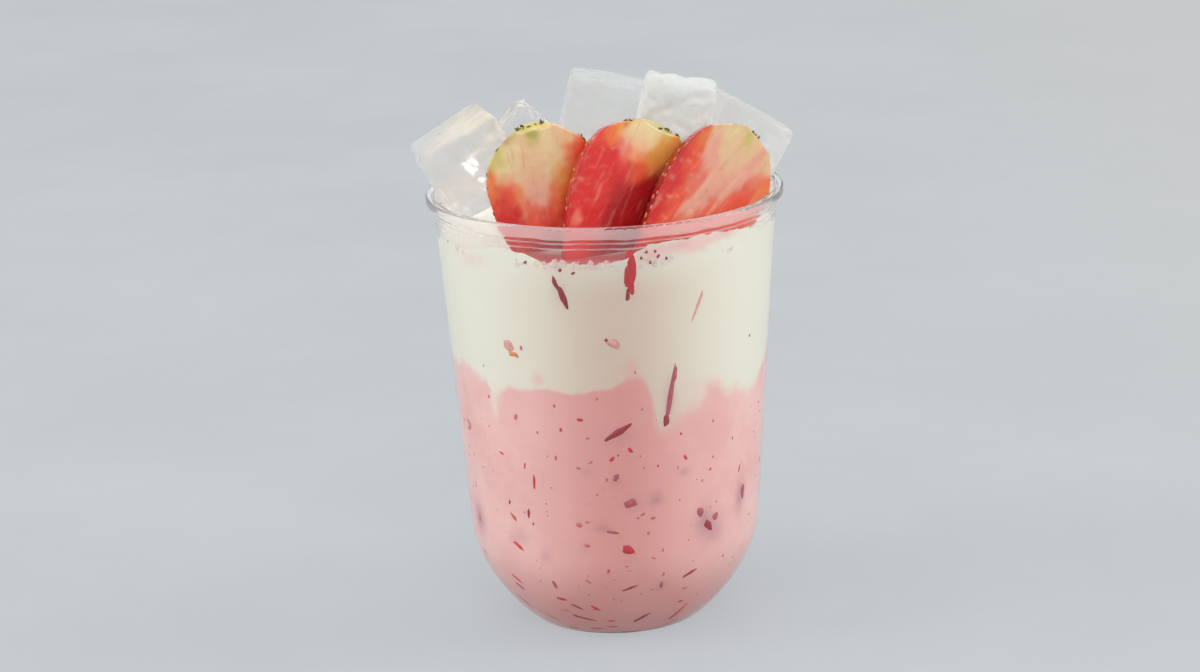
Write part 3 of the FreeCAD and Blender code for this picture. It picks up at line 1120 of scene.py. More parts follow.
    def add_lip_milk_and_highlights(self, effects: SharedEffects) -> None:
        """Milk smeared thinly inside the lip of the rim, and two fine pale lines in the rim's corners that
        are painted highlights.

        Args:
            effects: The shared node groups.
        """
        cup = self.cup
        whole = bmesh.new()
        for low, high, rows in self.lip_milk_and_highlight_bands:
            heights = np.linspace(low, high, rows)
            radii = np.interp(heights, [cup.step_height, cup.step_height + 0.5, cup.collar_height],
                              [cup.step_radius, cup.mouth_radius - 0.10, cup.mouth_radius - 0.04])
            sheet = [*zip(radii - 0.02, heights), *zip(radii[::-1] - self.film_depth, heights[::-1])]
            bm = spun([*sheet, sheet[0]], self.steps)
            bmesh.ops.remove_doubles(bm, verts=bm.verts, dist=WELD / 20)
            places = coordinates(bm)
            wave = noise_field(places * np.array([1, 1, 0]), 5.0, 8.8)
            places[:, 2] += wave * np.interp(places[:, 2], [low, high], [0.35, 0.05])
            move_to(bm, places)
            band = new_piece("band", bm)
            whole.from_mesh(band.data)
            discard(band)
        bmesh.ops.recalc_face_normals(whole, faces=whole.faces)
        finish = GlassFinish("lip_milk_and_painted_highlights", (1.0, 0.945, 0.93), 1.2, 0.30, transmission=0.82, shadow=0.9)
        add_piece("lip_milk_and_painted_highlights", whole, finish.material(effects))

    def dips(self, solid: Object) -> bool:
        """Whether a solid reaches into the milk."""
        return min(v.co.z for v in solid.data.vertices) < (self.level + 1) * MM


# --- Strawberry slices


class Tone(Enum):
    """Tones of a strawberry, from its skin to its core."""

    SKIN = linear(184, 16, 28)
    DEEP = linear(172, 22, 26)
    RED = linear(212, 38, 34)
    SCARLET = linear(232, 82, 52)
    ORANGE = linear(234, 120, 62)
    AMBER = linear(224, 148, 70)
    CREAM = linear(228, 186, 142)
    PALE = linear(226, 202, 148)
    YELLOW = linear(206, 188, 108)
    GREEN = linear(158, 156, 66)
    PINK = linear(230, 160, 136)
    ROSE = linear(228, 116, 92)
    LEAF = linear(98, 92, 26)
    SEED = linear(206, 150, 66)
    # A pale pink that paints glints on the seeds of the middle and right slices.
    PAINTED_GLINT = linear(226, 140, 120)
    BROWN = linear(126, 66, 30)


@dataclass(frozen=True)
class Dab:
    """A tone at a place on a cut face: across from -1 to 1, up from tip to calyx, and reach."""

    across: float
    up: float
    tone: Tone
    reach: float


@dataclass(frozen=True)
class Vein:
    """A fine stroke of tone in the flesh, between two places on a cut face, width in millimetres."""

    start: tuple[float, float]
    end: tuple[float, float]
    tone: Tone
    width: float
    amount: float


def dabs(*rows: tuple[float, float, str, float]) -> tuple[Dab, ...]:
    """Dabs from rows of across, up, tone and reach, with their numbers in hundredths."""
    return tuple(Dab(across / 100, up / 100, Tone[tone], reach / 100) for across, up, tone, reach in rows)


def veins(*rows: tuple[float, float, float, float, str, float, float]) -> tuple[Vein, ...]:
    """Veins from rows of start across and up, end across and up, tone, width and amount, in hundredths."""
    return tuple(Vein((row[0] / 100, row[1] / 100), (row[2] / 100, row[3] / 100), Tone[row[4]],
                      row[5] / 100, row[6] / 100) for row in rows)


@dataclass
class BerrySlice:
    """One lengthwise slice of strawberry. Millimetres and degrees, as in the part's source.

    Args:
        leaves: Across and up of what is left of its calyx.
        seeds: Side and up of the seeds listed one by one.
        touch: Bearing up to which it lies against the wall. Milk runs between it and the wall beyond.
        fill: How far its shoulder is filled out.
        shade: Painted shade: the share of its tones' brightness that it keeps, lowest on the right slice,
            which faces the light most.
        core_offset: How far its front face lies from the berry's core.
        pit: Depth and radius of a seed's pit.
        profile: Share of the length, and of the half width there.
    """

    node: str
    tip: tuple[float, float, float]
    length: float
    width: float
    tilt: float
    yaw: float
    lean: float
    dabs: tuple[Dab, ...]
    skin: tuple[Dab, ...]
    veins: tuple[Vein, ...]
    leaves: tuple[tuple[float, float], ...]
    seeds: tuple[tuple[float, float], ...]
    seed: int
    # Tone of half its seeds: brown on the left slice, a painted glint on the others.
    seed_and_glint_tone: Tone = Tone.SEED
    touch: float = 90.0
    fill: float = 0.8
    shade: float = 0.95
    core_offset: float = 2.0
    voxel: float = 0.34
    pit: tuple[float, float] = (0.26, 0.60)
    profile: tuple[tuple[float, float], ...] = (
        (0.0, 0.0), (0.10, 0.38), (0.27, 0.62), (0.48, 0.88), (0.72, 1.0), (0.86, 0.89), (0.93, 0.70),
        (1.0, 0.37))

    @property
    def turn(self) -> Matrix:
        """The slice's rotation from its own axes to the part's.

        Returns:
            The rotation.
        """
        lean, yaw, tilt = (Matrix.Rotation(math.radians(angle), 3, axis)
                           for angle, axis in ((self.lean, "X"), (self.yaw, "Z"), (self.tilt, "Y")))
        return lean @ yaw @ tilt

    def local(self, places: Array) -> Array:
        """Places turned into the slice's own axes from its tip."""
        return (places - np.array(self.tip)) @ np.array(self.turn)

    def world(self, x: float, y: float, z: float) -> Vector:
        """A place of the slice's own axes in the part's frame."""
        return self.turn @ Vector((x, y, z)) + Vector(self.tip)

    def face_share(self, own: Array) -> tuple[Array, Array]:
        """How far across the face, from -1 to 1, and up it, from 0 to 1, places of its own axes lie."""
        return own[:, 0] / (self.width / 2), own[:, 2] / self.length

    @staticmethod
    def blend(across: Array, up: Array, tones: Iterable[Dab]) -> Array:
        """Colour at places between dabs of tone.

        Args:
            across: How far across the cut face each place is.
            up: How far up it each place is.
            tones: The dabs.

        Returns:
            The colour at each place.
        """
        total = np.full(len(across), 1e-6)
        colour = np.tile(np.array(Tone.SCARLET.value) * 1e-6, (len(across), 1))
        for dab in tones:
            distance = ((across - dab.across) * 0.55) ** 2 + (up - dab.up) ** 2
            weight = np.exp(-distance / dab.reach ** 2)
            total += weight
            colour += weight[:, None] * np.array(dab.tone.value)
        return colour / total[:, None]

    def outline(self, up: Any, depth: float) -> Any:
        """Half width of the slice at a share of its length, so far behind its front face."""
        radius = np.interp(up, *zip(*self.profile)) * self.width / 2
        return np.sqrt(np.maximum(radius ** 2 - (self.core_offset + depth) ** 2, 0.01))

    def seed_places(self, tree: BVHTree) -> Seeds:
        """Where the seeds sit: those listed at the front, then rows round the skin behind it.

        Args:
            tree: The slice's surface.

        Returns:
            The place and normal of each seed.
        """
        rng = random.Random(self.seed)
        rows, out, by_hand, skin_limit = 7, 0.2, 0.9, 0.75
        wanted = [(side * (self.outline(up, by_hand) + out), up, by_hand) for side, up in self.seeds]
        for side in (-1, 1):
            for row in range(rows):
                for column, depth in enumerate((2.3, 3.9)):
                    up = 0.08 + 0.84 * (row + 0.5 * column + rng.uniform(-0.25, 0.25)) / rows
                    across = side * (self.outline(up, depth) + out)
                    wanted.append((across, up, depth + rng.uniform(-0.3, 0.3)))
        found: Seeds = []
        for across, up, depth in wanted:
            place, normal, _, _ = tree.find_nearest(self.world(across, depth, up * self.length) * MM)
            if abs((self.turn.inverted() @ normal).y) < skin_limit:
                found.append((place, normal))
        return found

    def relief(self, places: Array, own: Array, seeds: Seeds) -> Array:
        """How far the surface stands out: soft unevenness, seed pits and veins.

        Args:
            places: Places, one row each.
            own: The same places in the slice's own axes.
            seeds: The seeds' places.

        Returns:
            The height at each place.
        """
        relief = 0.10 * noise_field(own, 2.2, self.seed) + 0.20 * noise_field(own, 6.0, self.seed + 4) - 0.08
        pit_depth, pit_radius = self.pit
        for place, _ in seeds:
            relief -= pit_depth * bell(np.linalg.norm(places - np.array(place) / MM, axis=1) / pit_radius)
        across, up = self.face_share(own)
        face_depth, vein_height = 1.2, 0.07
        front = own[:, 1] < face_depth
        for vein in self.veins:
            relief[front] += vein_height * self.stroke(across[front], up[front], vein)
        return relief

    def fit(self, places: Array, cup: Cup) -> None:
        """Press places that lie near the wall onto it, and keep those above the step inside the rim.

        Args:
            places: Places, one row each. They are changed.
            cup: The cup.
        """
        into_wall, milk_gap, rim_gap = 0.16, 0.9, 0.35
        radius, z = radii_of(places), places[:, 2]
        wall = cup.inner_radius(z)
        touch = smoothstep(self.touch + 2.5, self.touch, bearings_of(places))
        reach = 0.6 + 1.9 * smoothstep(106.6, 108.0, z)
        press = smoothstep(0, 0.8, reach - wall + radius)
        target = touch * (wall + into_wall) + (1 - touch) * np.minimum(wall - milk_gap, radius)
        mouth = cup.step_radius - rim_gap + 4 * smoothstep(cup.height - 2.5, cup.height + 2, z)
        free = np.maximum(radius, 1)
        factor = np.where(z < cup.step_height, 1 + press * (target / free - 1), np.minimum(1, mouth / free))
        places[:, :2] *= factor[:, None]

    def form(self, cup: Cup, source: Object) -> tuple[BMesh, Seeds]:
        """The slice's mesh with rounded cut edges, seed pits and relief, and its seeds' places.

        Args:
            cup: The cup.
            source: The slice's CAD node.

        Returns:
            The mesh and the seeds' places.
        """
        bm, _ = softened(source, self.voxel, 2, 0.5)
        seeds = self.seed_places(BVHTree.FromBMesh(bm))
        places, normals = coordinates(bm), normals_of(bm)
        own = self.local(places)
        bulge = self.fill * smoothstep(0.88, 0.97, self.face_share(own)[1]) * bell(own[:, 0] / 5.0)
        relief = self.relief(places, own, seeds)
        places += normals * relief[:, None] + bulge[:, None] * np.array(self.turn)[:, 2]
        self.fit(places, cup)
        move_to(bm, places)
        return bm, seeds

    def stroke(self, across: Array, up: Array, vein: Vein) -> Array:
        """How much of a wavering vein lies at places on the cut face, from 0 to 1.

        Args:
            across: How far across the cut face each place is.
            up: How far up it each place is.
            vein: The vein.

        Returns:
            The share at each place.
        """
        scale = np.array([self.width / 2, self.length])
        start = np.array(vein.start) * scale
        along = np.array(vein.end) * scale - start
        length = float(np.hypot(*along))
        along = along / length
        at = np.column_stack([across, up]) * scale - start
        run = at @ along
        off = at @ np.array([-along[1], along[0]])
        off += 0.16 * np.sin(run * 1.7 + 40 * vein.start[1]) + 0.07 * np.sin(run * 3.9 + 60 * vein.start[0])
        taper = smoothstep(-0.6, 0.5, run) * smoothstep(length + 0.8, length - 1.2, run)
        broken = 0.75 + 0.5 * np.sin(run * 2.1 + 70 * vein.end[0])
        return taper * np.clip(broken, 0, 1) * bell(off / vein.width / 1.35)

    def colours(self, own: Array, skin: Array) -> Array:
        """Colour of each vertex: the cut face's dabs and veins, a rim of skin round it, and the skin.

        Args:
            own: The vertices in the slice's own axes.
            skin: How much of each is skin.

        Returns:
            The colours, one row each.
        """
        across, up = self.face_share(own)
        sideways, along = (0.035 * noise_field(own, 3.2, start + self.seed) for start in (9.0, 0.0))
        flesh = self.blend(across + sideways * 2, up + along, self.dabs)
        vein_share, rim_share, rim_fade = 0.52, 0.55, 0.6
        for vein in self.veins:
            share = vein_share * vein.amount * self.stroke(across, up, vein)[:, None]
            flesh = flesh * (1 - share) + np.array(vein.tone.value) * share
        peel = self.blend(across, up, self.skin)
        depth = self.outline(up, 0.0) - np.abs(own[:, 0])
        rim = rim_share * np.exp(-np.maximum(depth, 0) / rim_fade)[:, None] * (1 - skin[:, None])
        colour = flesh * (1 - rim) + peel * rim
        # Painted shade: every tone of the slice is darkened by its shade share.
        return (colour * (1 - skin[:, None]) + peel * skin[:, None]) * self.shade

    def build(self, cup: Cup, source: Object, material: Material) -> tuple[Object, Seeds]:
        """Make and paint the slice.

        Args:
            cup: The cup it leans against.
            source: The slice's CAD node.
            material: Its finish.

        Returns:
            The piece and its seeds' places.
        """
        bm, seeds = self.form(cup, source)
        bm.normal_update()
        facing = np.abs(normals_of(bm) @ np.array(self.turn)[:, 1])
        own = self.local(coordinates(bm))
        piece = add_piece(self.node + "_flesh", bm, material, [self.node])
        skin = smoothstep(0.80, 0.50, facing)
        paint(piece, "tone", np.column_stack([self.colours(own, skin), np.ones(len(own))]))
        paint(piece, "skin", skin)
        along = own[:, 2] + 0.35 * np.abs(own[:, 0])
        paint(piece, "grain", np.column_stack([own[:, 0] * 0.55, along * 0.10, own[:, 1] * 0.2 + self.seed]))
        return piece, seeds


@dataclass
class Berries:
    """The three slices, their seeds and what is left of their calyxes."""

    slices: tuple[BerrySlice, ...]

    def build(self, cup: Cup, nodes: dict[str, Object], effects: SharedEffects) -> list[Object]:
        """Make the slices, then all seeds as one piece and all calyx scraps as another.

        Args:
            cup: The cup that the slices lean against.
            nodes: The CAD nodes by name.
            effects: The shared node groups.

        Returns:
            The slices.
        """
        flesh = FleshFinish("cut_strawberry").material()
        pieces = []
        seeds, scraps = bmesh.new(), bmesh.new()
        tones: list[Colour] = []
        for berry in self.slices:
            piece, places = berry.build(cup, nodes[berry.node], flesh)
            pieces.append(piece)
            rng = random.Random(berry.seed + 100)
            for place, normal in places:
                tones += self.add_seed(seeds, berry, place, normal, rng)
            tree = BVHTree.FromPolygons([v.co for v in piece.data.vertices],
                                        [p.vertices[:] for p in piece.data.polygons])
            self.add_scraps(scraps, berry, tree, rng)
        coat = TintFinish("seed_coat", roughness=0.25, amount=0.25)
        seed_piece = add_piece("strawberry_seeds", seeds, coat.material(effects))
        paint(seed_piece, "tone", np.array([rgba(tone) for tone in tones]))
        green = TintFinish("calyx_scrap", roughness=0.5, mottle=linear(70, 58, 18), amount=0.6, scale=1400.0)
        calyx = add_piece("calyx_scraps", scraps, green.material(effects))
        paint(calyx, "tone", np.tile(rgba(Tone.LEAF.value), (len(calyx.data.vertices), 1)))
        return pieces

    @staticmethod
    def add_seed(bm: BMesh, berry: BerrySlice, place: Vector, normal: Vector,
                 rng: random.Random) -> list[Colour]:
        """Add one seed and return the tone of each of its vertices.

        Args:
            bm: The mesh to add to.
            berry: The slice.
            place: Where it sits.
            normal: Which way it faces.
            rng: The source of random numbers.

        Returns:
            The tones.
        """
        length = rng.uniform(0.55, 0.75) * MM
        along = (berry.turn @ Vector((0, 0, -1)))
        along = (along - normal * along.dot(normal)).normalized()
        side = normal.cross(along)
        verts = add_ball(bm, oriented(place - normal * 0.20 * MM, side * length * 0.50, along * length,
                                      normal * length * 0.40))
        # Half the seeds take the slice's own tone, which on the middle and right slices is a painted glint.
        tone = rng.choice((berry.seed_and_glint_tone, berry.seed_and_glint_tone, Tone.SEED, Tone.BROWN)).value
        return [tone] * len(verts)

    @staticmethod
    def add_scraps(bm: BMesh, berry: BerrySlice, tree: BVHTree, rng: random.Random) -> None:
        """Add the dry green scraps that the calyx left on a slice's shoulder.

        Args:
            bm: The mesh to add to.
            berry: The slice.
            tree: The slice's surface.
            rng: The source of random numbers.
        """
        for across, up in berry.leaves:
            for _ in range(5):
                x = (across + rng.uniform(-0.10, 0.10)) * berry.width / 2
                near = berry.world(x, rng.uniform(0.2, 2.4), (up + 0.06) * berry.length) * MM
                place, normal, _, _ = tree.find_nearest(near)
                along = (berry.turn @ Vector((rng.uniform(-1, 1), rng.uniform(-0.4, 0.2), 0.35))).normalized()
                side = normal.cross(along).normalized()
                size = rng.uniform(0.45, 0.95) * MM
                frame = oriented(place + normal * 0.05 * MM, along * size, side * size * 0.35,
                                 normal * size * 0.30)
                for vert in add_ball(bm, frame):
                    vert.co += Vector((0, 0, 0.25 * MM)) * noise.noise(vert.co / (0.5 * MM))


# --- Bits of strawberry at the wall


class Fruit(Enum):
    """Tones of the bits of fruit at the wall."""

    DARK = linear(156, 26, 44)
    RED = linear(212, 32, 42)
    ROSE = linear(214, 108, 106)
    PURPLE = linear(182, 84, 98)
    TAN = linear(212, 108, 62)
    WINE = linear(142, 8, 34)
    BLOOD = linear(200, 16, 30)
    BLUSH = linear(222, 166, 156)
    SEED = linear(222, 138, 70)


@dataclass(frozen=True)
class Bit:
    """A bit of strawberry against the wall: bearing, height, half length, half width, turn and tone."""

    bearing: float
    z: float
    long: float
    wide: float
    turn: float
    tone: Fruit
    thick: float = 0.5


def fruit_bits(*rows: tuple[Any, ...]) -> tuple[Bit, ...]:
    """Bits from rows of bearing, height, half length, half width, turn, tone and perhaps thickness."""
    return tuple(Bit(*row[:5], Fruit[row[5]], *row[6:]) for row in rows)


@dataclass
class BerryBits:
    """Puree flecks, slivers and lumps that show through the wall. Millimetres and degrees.

    Args:
        count: Number of flecks scattered at the sides and the back.
        proud: How far a bit reaches into the wall.
        swell: How much larger than its row each bit is made.
        settled: The same again, for the bits that have settled below settled_z.
        settled_z: Height below which bits have settled.
        front: Bearing up to which every fleck is listed one by one.
    """

    cup: Cup
    count: int = 300
    speck_count: int = 160
    seed: int = 11
    proud: float = 0.42
    swell: float = 1.3
    settled: float = 1.35
    settled_z: float = 16.0
    front: float = 66.0
    slivers: tuple[Bit, ...] = fruit_bits(
        (7.9, 107, 4.6, 1, -4, "BLOOD", 0.8), (7.1, 103.8, 3.8, 1.4, -2, "BLOOD", 0.8),
        (6.6, 99.6, 1.5, 0.5, 6, "WINE", 0.6), (13, 110.7, 0.4, 0.3, 0, "WINE"),
        (14.3, 107.9, 0.45, 0.3, 0, "WINE"), (16, 110.7, 0.35, 0.3, 0, "WINE"),
        (17, 109.3, 0.5, 0.35, 30, "WINE"), (19.8, 108.5, 0.4, 0.3, 0, "WINE"),
        (11.3, 109.2, 0.4, 0.3, 0, "WINE"), (-15.6, 106.5, 0.5, 0.35, 40, "WINE"),
        (-11.3, 105.8, 0.5, 0.3, 60, "WINE"), (-27.6, 108.1, 0.5, 0.3, 50, "WINE"),
        (-17.4, 102.9, 1.9, 0.5, -20, "WINE", 0.6), (-15, 99.4, 2.7, 0.95, -20, "WINE", 0.7),
        (21.3, 71, 7.6, 0.62, 9, "PURPLE", 0.6), (19.7, 64.6, 1.6, 0.75, 10, "DARK", 0.6),
        (22.8, 76.4, 2.2, 0.62, 12, "PURPLE", 0.6), (31.6, 94.6, 3.4, 0.42, 24, "BLUSH", 0.5),
        (1.6, 62.3, 3.2, 0.75, 57, "DARK", 0.6), (-36.2, 82.6, 0.9, 0.6, -70, "SEED", 0.5),
        (-34.4, 82.5, 0.8, 0.5, -40, "SEED", 0.5), (-37.4, 84.8, 1.6, 1.1, -60, "BLUSH", 0.5),
        (-32, 84.6, 0.5, 0.4, 0, "ROSE"), (-1.2, 87.8, 0.4, 0.35, 0, "DARK"), (1, 86.8, 1.8, 1, -65, "BLUSH"),
        (58.9, 81.9, 0.35, 0.3, 0, "DARK"), (4.6, 29.4, 1.9, 1.2, -62, "BLOOD", 0.9),
        (34.4, 37, 1.7, 1.2, -20, "PURPLE", 0.9), (38.4, 32.8, 2.1, 1.2, -25, "DARK", 0.9),
        (42, 34.6, 1, 0.8, 0, "PURPLE", 0.6), (59, 38.4, 2.2, 0.9, -6, "PURPLE", 0.8),
        (6, 42.6, 1.6, 1.1, -85, "PURPLE", 0.7), (5.4, 41.8, 1, 0.4, -95, "RED", 0.7),
        (150, 30, 2.2, 1.5, -20, "RED", 0.9), (-150, 42, 2.6, 1.2, -60, "PURPLE", 0.8),
        (110, 24, 1.8, 1.2, -100, "RED", 0.8), (-110, 33, 2, 1.4, -15, "PURPLE", 0.8),
        (175, 66, 6, 0.7, -12, "DARK", 0.5), (-125, 92, 2.6, 0.7, -30, "WINE", 0.6),
        (135, 97, 2.2, 0.6, 20, "WINE", 0.6), (95, 45, 2, 1, -40, "ROSE", 0.7),
    )
    flecks: tuple[Bit, ...] = fruit_bits(
        (8, 0.7, 1.44, 0.26, 90, "DARK"), (31.4, 2, 2.18, 0.29, 48, "ROSE"),
        (-29.2, 2, 1.02, 0.23, 107, "DARK"), (-13.2, 2.7, 1.28, 0.26, 90, "DARK"),
        (-3.8, 3.5, 1.02, 0.25, 90, "RED"), (-38.6, 5, 1.85, 0.26, 132, "DARK"),
        (-3.8, 6.1, 0.96, 0.28, 86, "RED"), (32.7, 6.1, 2.23, 0.51, 25, "RED"),
        (-45, 6.7, 1.49, 0.26, 130, "ROSE"), (12, 6.7, 1.88, 0.45, 46, "DARK"),
        (-18, 6.8, 2.3, 0.45, 110, "DARK"), (56.6, 7.7, 2.4, 0.23, 34, "ROSE"),
        (-53.8, 8.7, 2.4, 0.34, 152, "DARK"), (-26.7, 9.2, 0.85, 0.28, 108, "ROSE"),
        (-65, 10.5, 2.4, 0.34, 153, "PURPLE"), (30.7, 10.7, 0.66, 0.39, 90, "PURPLE"),
        (-10.8, 11.2, 1.27, 0.42, 135, "RED"), (-19.7, 11.3, 1.3, 0.36, 128, "DARK"),
        (-26.1, 13.5, 1.19, 0.5, 98, "RED"), (-47.7, 14.7, 1.12, 0.4, 129, "PURPLE"),
        (30.4, 15.3, 0.78, 0.28, 90, "ROSE"), (14.7, 16.7, 0.52, 0.28, 90, "ROSE"),
        (-47.4, 17.2, 2.05, 0.51, 130, "RED"), (4.7, 17.7, 2.09, 0.39, 66, "DARK"),
        (18.4, 17.9, 1.13, 0.5, 0, "PURPLE"), (-26.8, 18.1, 1.37, 0.5, 165, "PURPLE"),
        (30.5, 19.9, 2.05, 0.5, 67, "DARK"), (-11.7, 20.1, 1.01, 0.33, 121, "ROSE"),
        (19, 21.3, 0.62, 0.33, 0, "ROSE"), (48.1, 22.1, 0.45, 0.28, 0, "DARK"),
        (-3.5, 23.4, 0.72, 0.39, 0, "ROSE"), (3.8, 24.6, 0.39, 0.25, 79, "ROSE"),
        (14.6, 26.4, 0.81, 0.28, 111, "ROSE"), (-41.5, 28, 1.97, 0.56, 123, "RED"),
        (18.3, 28.4, 0.66, 0.22, 0, "ROSE"), (-11.3, 30.8, 0.85, 0.39, 101, "ROSE"),
        (12.4, 33.7, 0.45, 0.28, 69, "ROSE"), (-1.1, 34.5, 1.71, 0.5, 101, "PURPLE"),
        (-33.2, 35.5, 0.42, 0.28, 0, "DARK"), (-43, 36.2, 1.51, 0.5, 134, "TAN"),
        (-14, 36.5, 0.96, 0.61, 90, "ROSE"), (-10.6, 37.4, 0.67, 0.27, 79, "ROSE"),
        (14.5, 37.8, 0.57, 0.38, 90, "TAN"), (-34.9, 38.1, 1.44, 0.39, 6, "DARK"),
        (8.6, 38.2, 0.3, 0.25, 0, "RED"), (10.4, 39.1, 0.68, 0.27, 58, "ROSE"),
        (-44.2, 40.2, 0.62, 0.33, 0, "DARK"), (-67.7, 40.8, 1, 0.28, 0, "ROSE"),
        (-26.8, 41.8, 0.3, 0.22, 0, "ROSE"), (-6.5, 45.2, 0.36, 0.25, 0, "ROSE"),
        (55.7, 45.5, 1.08, 0.34, 16, "RED"), (35.1, 45.9, 0.43, 0.25, 33, "ROSE"),
        (-31.3, 47.4, 1.78, 0.36, 3, "RED"), (38.8, 48.5, 0.52, 0.3, 50, "RED"),
        (-2.7, 49.3, 0.59, 0.33, 0, "ROSE"), (-66.2, 49.8, 0.41, 0.28, 0, "ROSE"),
        (0.8, 49.9, 1.04, 0.65, 28, "PURPLE"), (24.3, 50.9, 0.3, 0.22, 0, "ROSE"),
        (-34.9, 51.7, 1.11, 0.39, 11, "ROSE"), (40, 51.7, 0.42, 0.25, 0, "ROSE"),
        (11.1, 52.2, 0.32, 0.22, 0, "ROSE"), (16.5, 52.3, 0.32, 0.25, 0, "RED"),
        (-13, 52.6, 0.62, 0.33, 90, "ROSE"), (27.4, 53.5, 0.9, 0.41, 149, "RED"),
        (-46, 53.8, 0.93, 0.33, 106, "RED"), (-8.4, 54.3, 0.62, 0.33, 58, "ROSE"),
        (-21.5, 55, 0.73, 0.33, 0, "ROSE"), (50.4, 55.1, 0.45, 0.3, 0, "ROSE"),
        (-0.5, 55.2, 0.85, 0.54, 38, "RED"), (10, 55.5, 0.26, 0.22, 0, "ROSE"),
        (1.7, 56.1, 0.35, 0.22, 0, "DARK"), (6.3, 57.5, 0.86, 0.49, 142, "RED"),
        (-67, 58.5, 1.51, 0.34, 129, "DARK"), (25.4, 60.3, 0.45, 0.33, 0, "RED"),
        (-9.2, 61, 0.6, 0.3, 79, "ROSE"), (-28.2, 61.7, 0.4, 0.27, 0, "ROSE"),
        (39.6, 61.8, 0.39, 0.27, 0, "ROSE"), (-18.8, 63, 0.57, 0.39, 0, "RED"),
        (-36.9, 65.1, 0.85, 0.54, 23, "ROSE"), (-11.4, 66, 0.84, 0.47, 95, "RED"),
        (10.8, 68.5, 0.38, 0.27, 0, "ROSE"), (-49.8, 69, 0.47, 0.33, 0, "ROSE"),
        (-20.7, 69.6, 0.44, 0.3, 0, "ROSE"), (-5.1, 71.8, 0.44, 0.32, 0, "ROSE"),
        (-50.9, 77.4, 0.34, 0.24, 0, "ROSE"), (8.5, 78.7, 0.44, 0.32, 0, "ROSE"),
    )

    def add(self, bm: BMesh, bit: Bit, subdivisions: int, rng: random.Random) -> list[Colour]:
        """Add one bit and return the tone of each of its vertices.

        Args:
            bm: The mesh to add to.
            bit: The bit.
            subdivisions: How fine its faces are.
            rng: The source of random numbers.

        Returns:
            The tones.
        """
        place, (side, up, out) = self.cup.wall_frame(bit.bearing, bit.z)
        turn = math.radians(bit.turn)
        along = up * math.cos(turn) + side * math.sin(turn)
        frame = Matrix.Scale(MM, 4) @ oriented(place + out * (self.proud - bit.thick), along * bit.long,
                                               out.cross(along) * bit.wide, out * bit.thick)
        verts = add_ball(bm, Matrix(), subdivisions)
        jitter = Vector((rng.uniform(0, 50), 0, 0))
        for vert in verts:
            vert.co *= 1 + 0.34 * noise.noise(vert.co * 1.3 + jitter)
            vert.co = frame @ vert.co
        return [bit.tone.value] * len(verts)

    def random_bit(self, rng: random.Random) -> Bit:
        """A small fleck at the sides or the back, most often low in the cup where they settle.

        Args:
            rng: The source of random numbers.

        Returns:
            The fleck.
        """
        at_foot, below_edge = 0.40, 0.88
        share = rng.random()
        if share < at_foot:
            z = 1.6 + 22 * rng.random() ** 1.3
        else:
            z = rng.uniform(20, 58) if share < below_edge else rng.uniform(56, 70)
        size = min(0.30 * math.exp(rng.gauss(0, 0.38)), 0.8)
        rose = (Fruit.ROSE,) * 3
        tone = rng.choice((Fruit.DARK, Fruit.RED, *rose, Fruit.PURPLE, Fruit.TAN))
        bearing = rng.uniform(self.front, 360 - self.front)
        return Bit(bearing, z, size * rng.uniform(1.1, 2.6), size, rng.uniform(0, 180), tone)

    def specks(self, rng: random.Random) -> list[Bit]:
        """Specks no bigger than ground pepper, all round the pink layer.

        Args:
            rng: The source of random numbers.

        Returns:
            The specks.
        """
        ranges = ((-180, 180), (4, 66), (0.12, 0.3), (0.10, 0.18), (0, 180))
        return [Bit(*(rng.uniform(low, high) for low, high in ranges), Fruit.ROSE, 0.46)
                for _ in range(self.speck_count)]

    def build(self, effects: SharedEffects) -> None:
        """Make the flecks as one piece and the larger slivers and lumps as another.

        Args:
            effects: The shared node groups.
        """
        rng = random.Random(self.seed)
        finish = TintFinish("strawberry_puree", roughness=0.4).material(effects)
        scattered = [self.random_bit(rng) for _ in range(self.count)] + self.specks(rng)
        for name, bits, subdivisions in (("puree_flecks", [*self.flecks, *scattered], 1),
                                         ("berry_slivers", self.slivers, 3)):
            bm = bmesh.new()
            tones: list[Colour] = []
            for bit in bits:
                swell = self.swell * (self.settled if bit.z < self.settled_z else 1)
                larger = replace(bit, long=bit.long * swell, wide=bit.wide * swell)
                tones += self.add(bm, larger, subdivisions, rng)
            paint(add_piece(name, bm, finish), "tone", np.array([rgba(tone) for tone in tones]))


# --- Ice and bubbles


class IceKind(Enum):
    """How the ice of a cube looks, with the name of its finish."""

    CLEAR = "clear_ice"
    CLOUDY = "cloudy_ice"
    FROSTED = "frosted_ice"


@dataclass(frozen=True)
class Cube:
    """How one cube has melted: kind, rounds of smoothing, and depth of its hollows in millimetres."""

    kind: IceKind
    rounds: int
    hollows: float


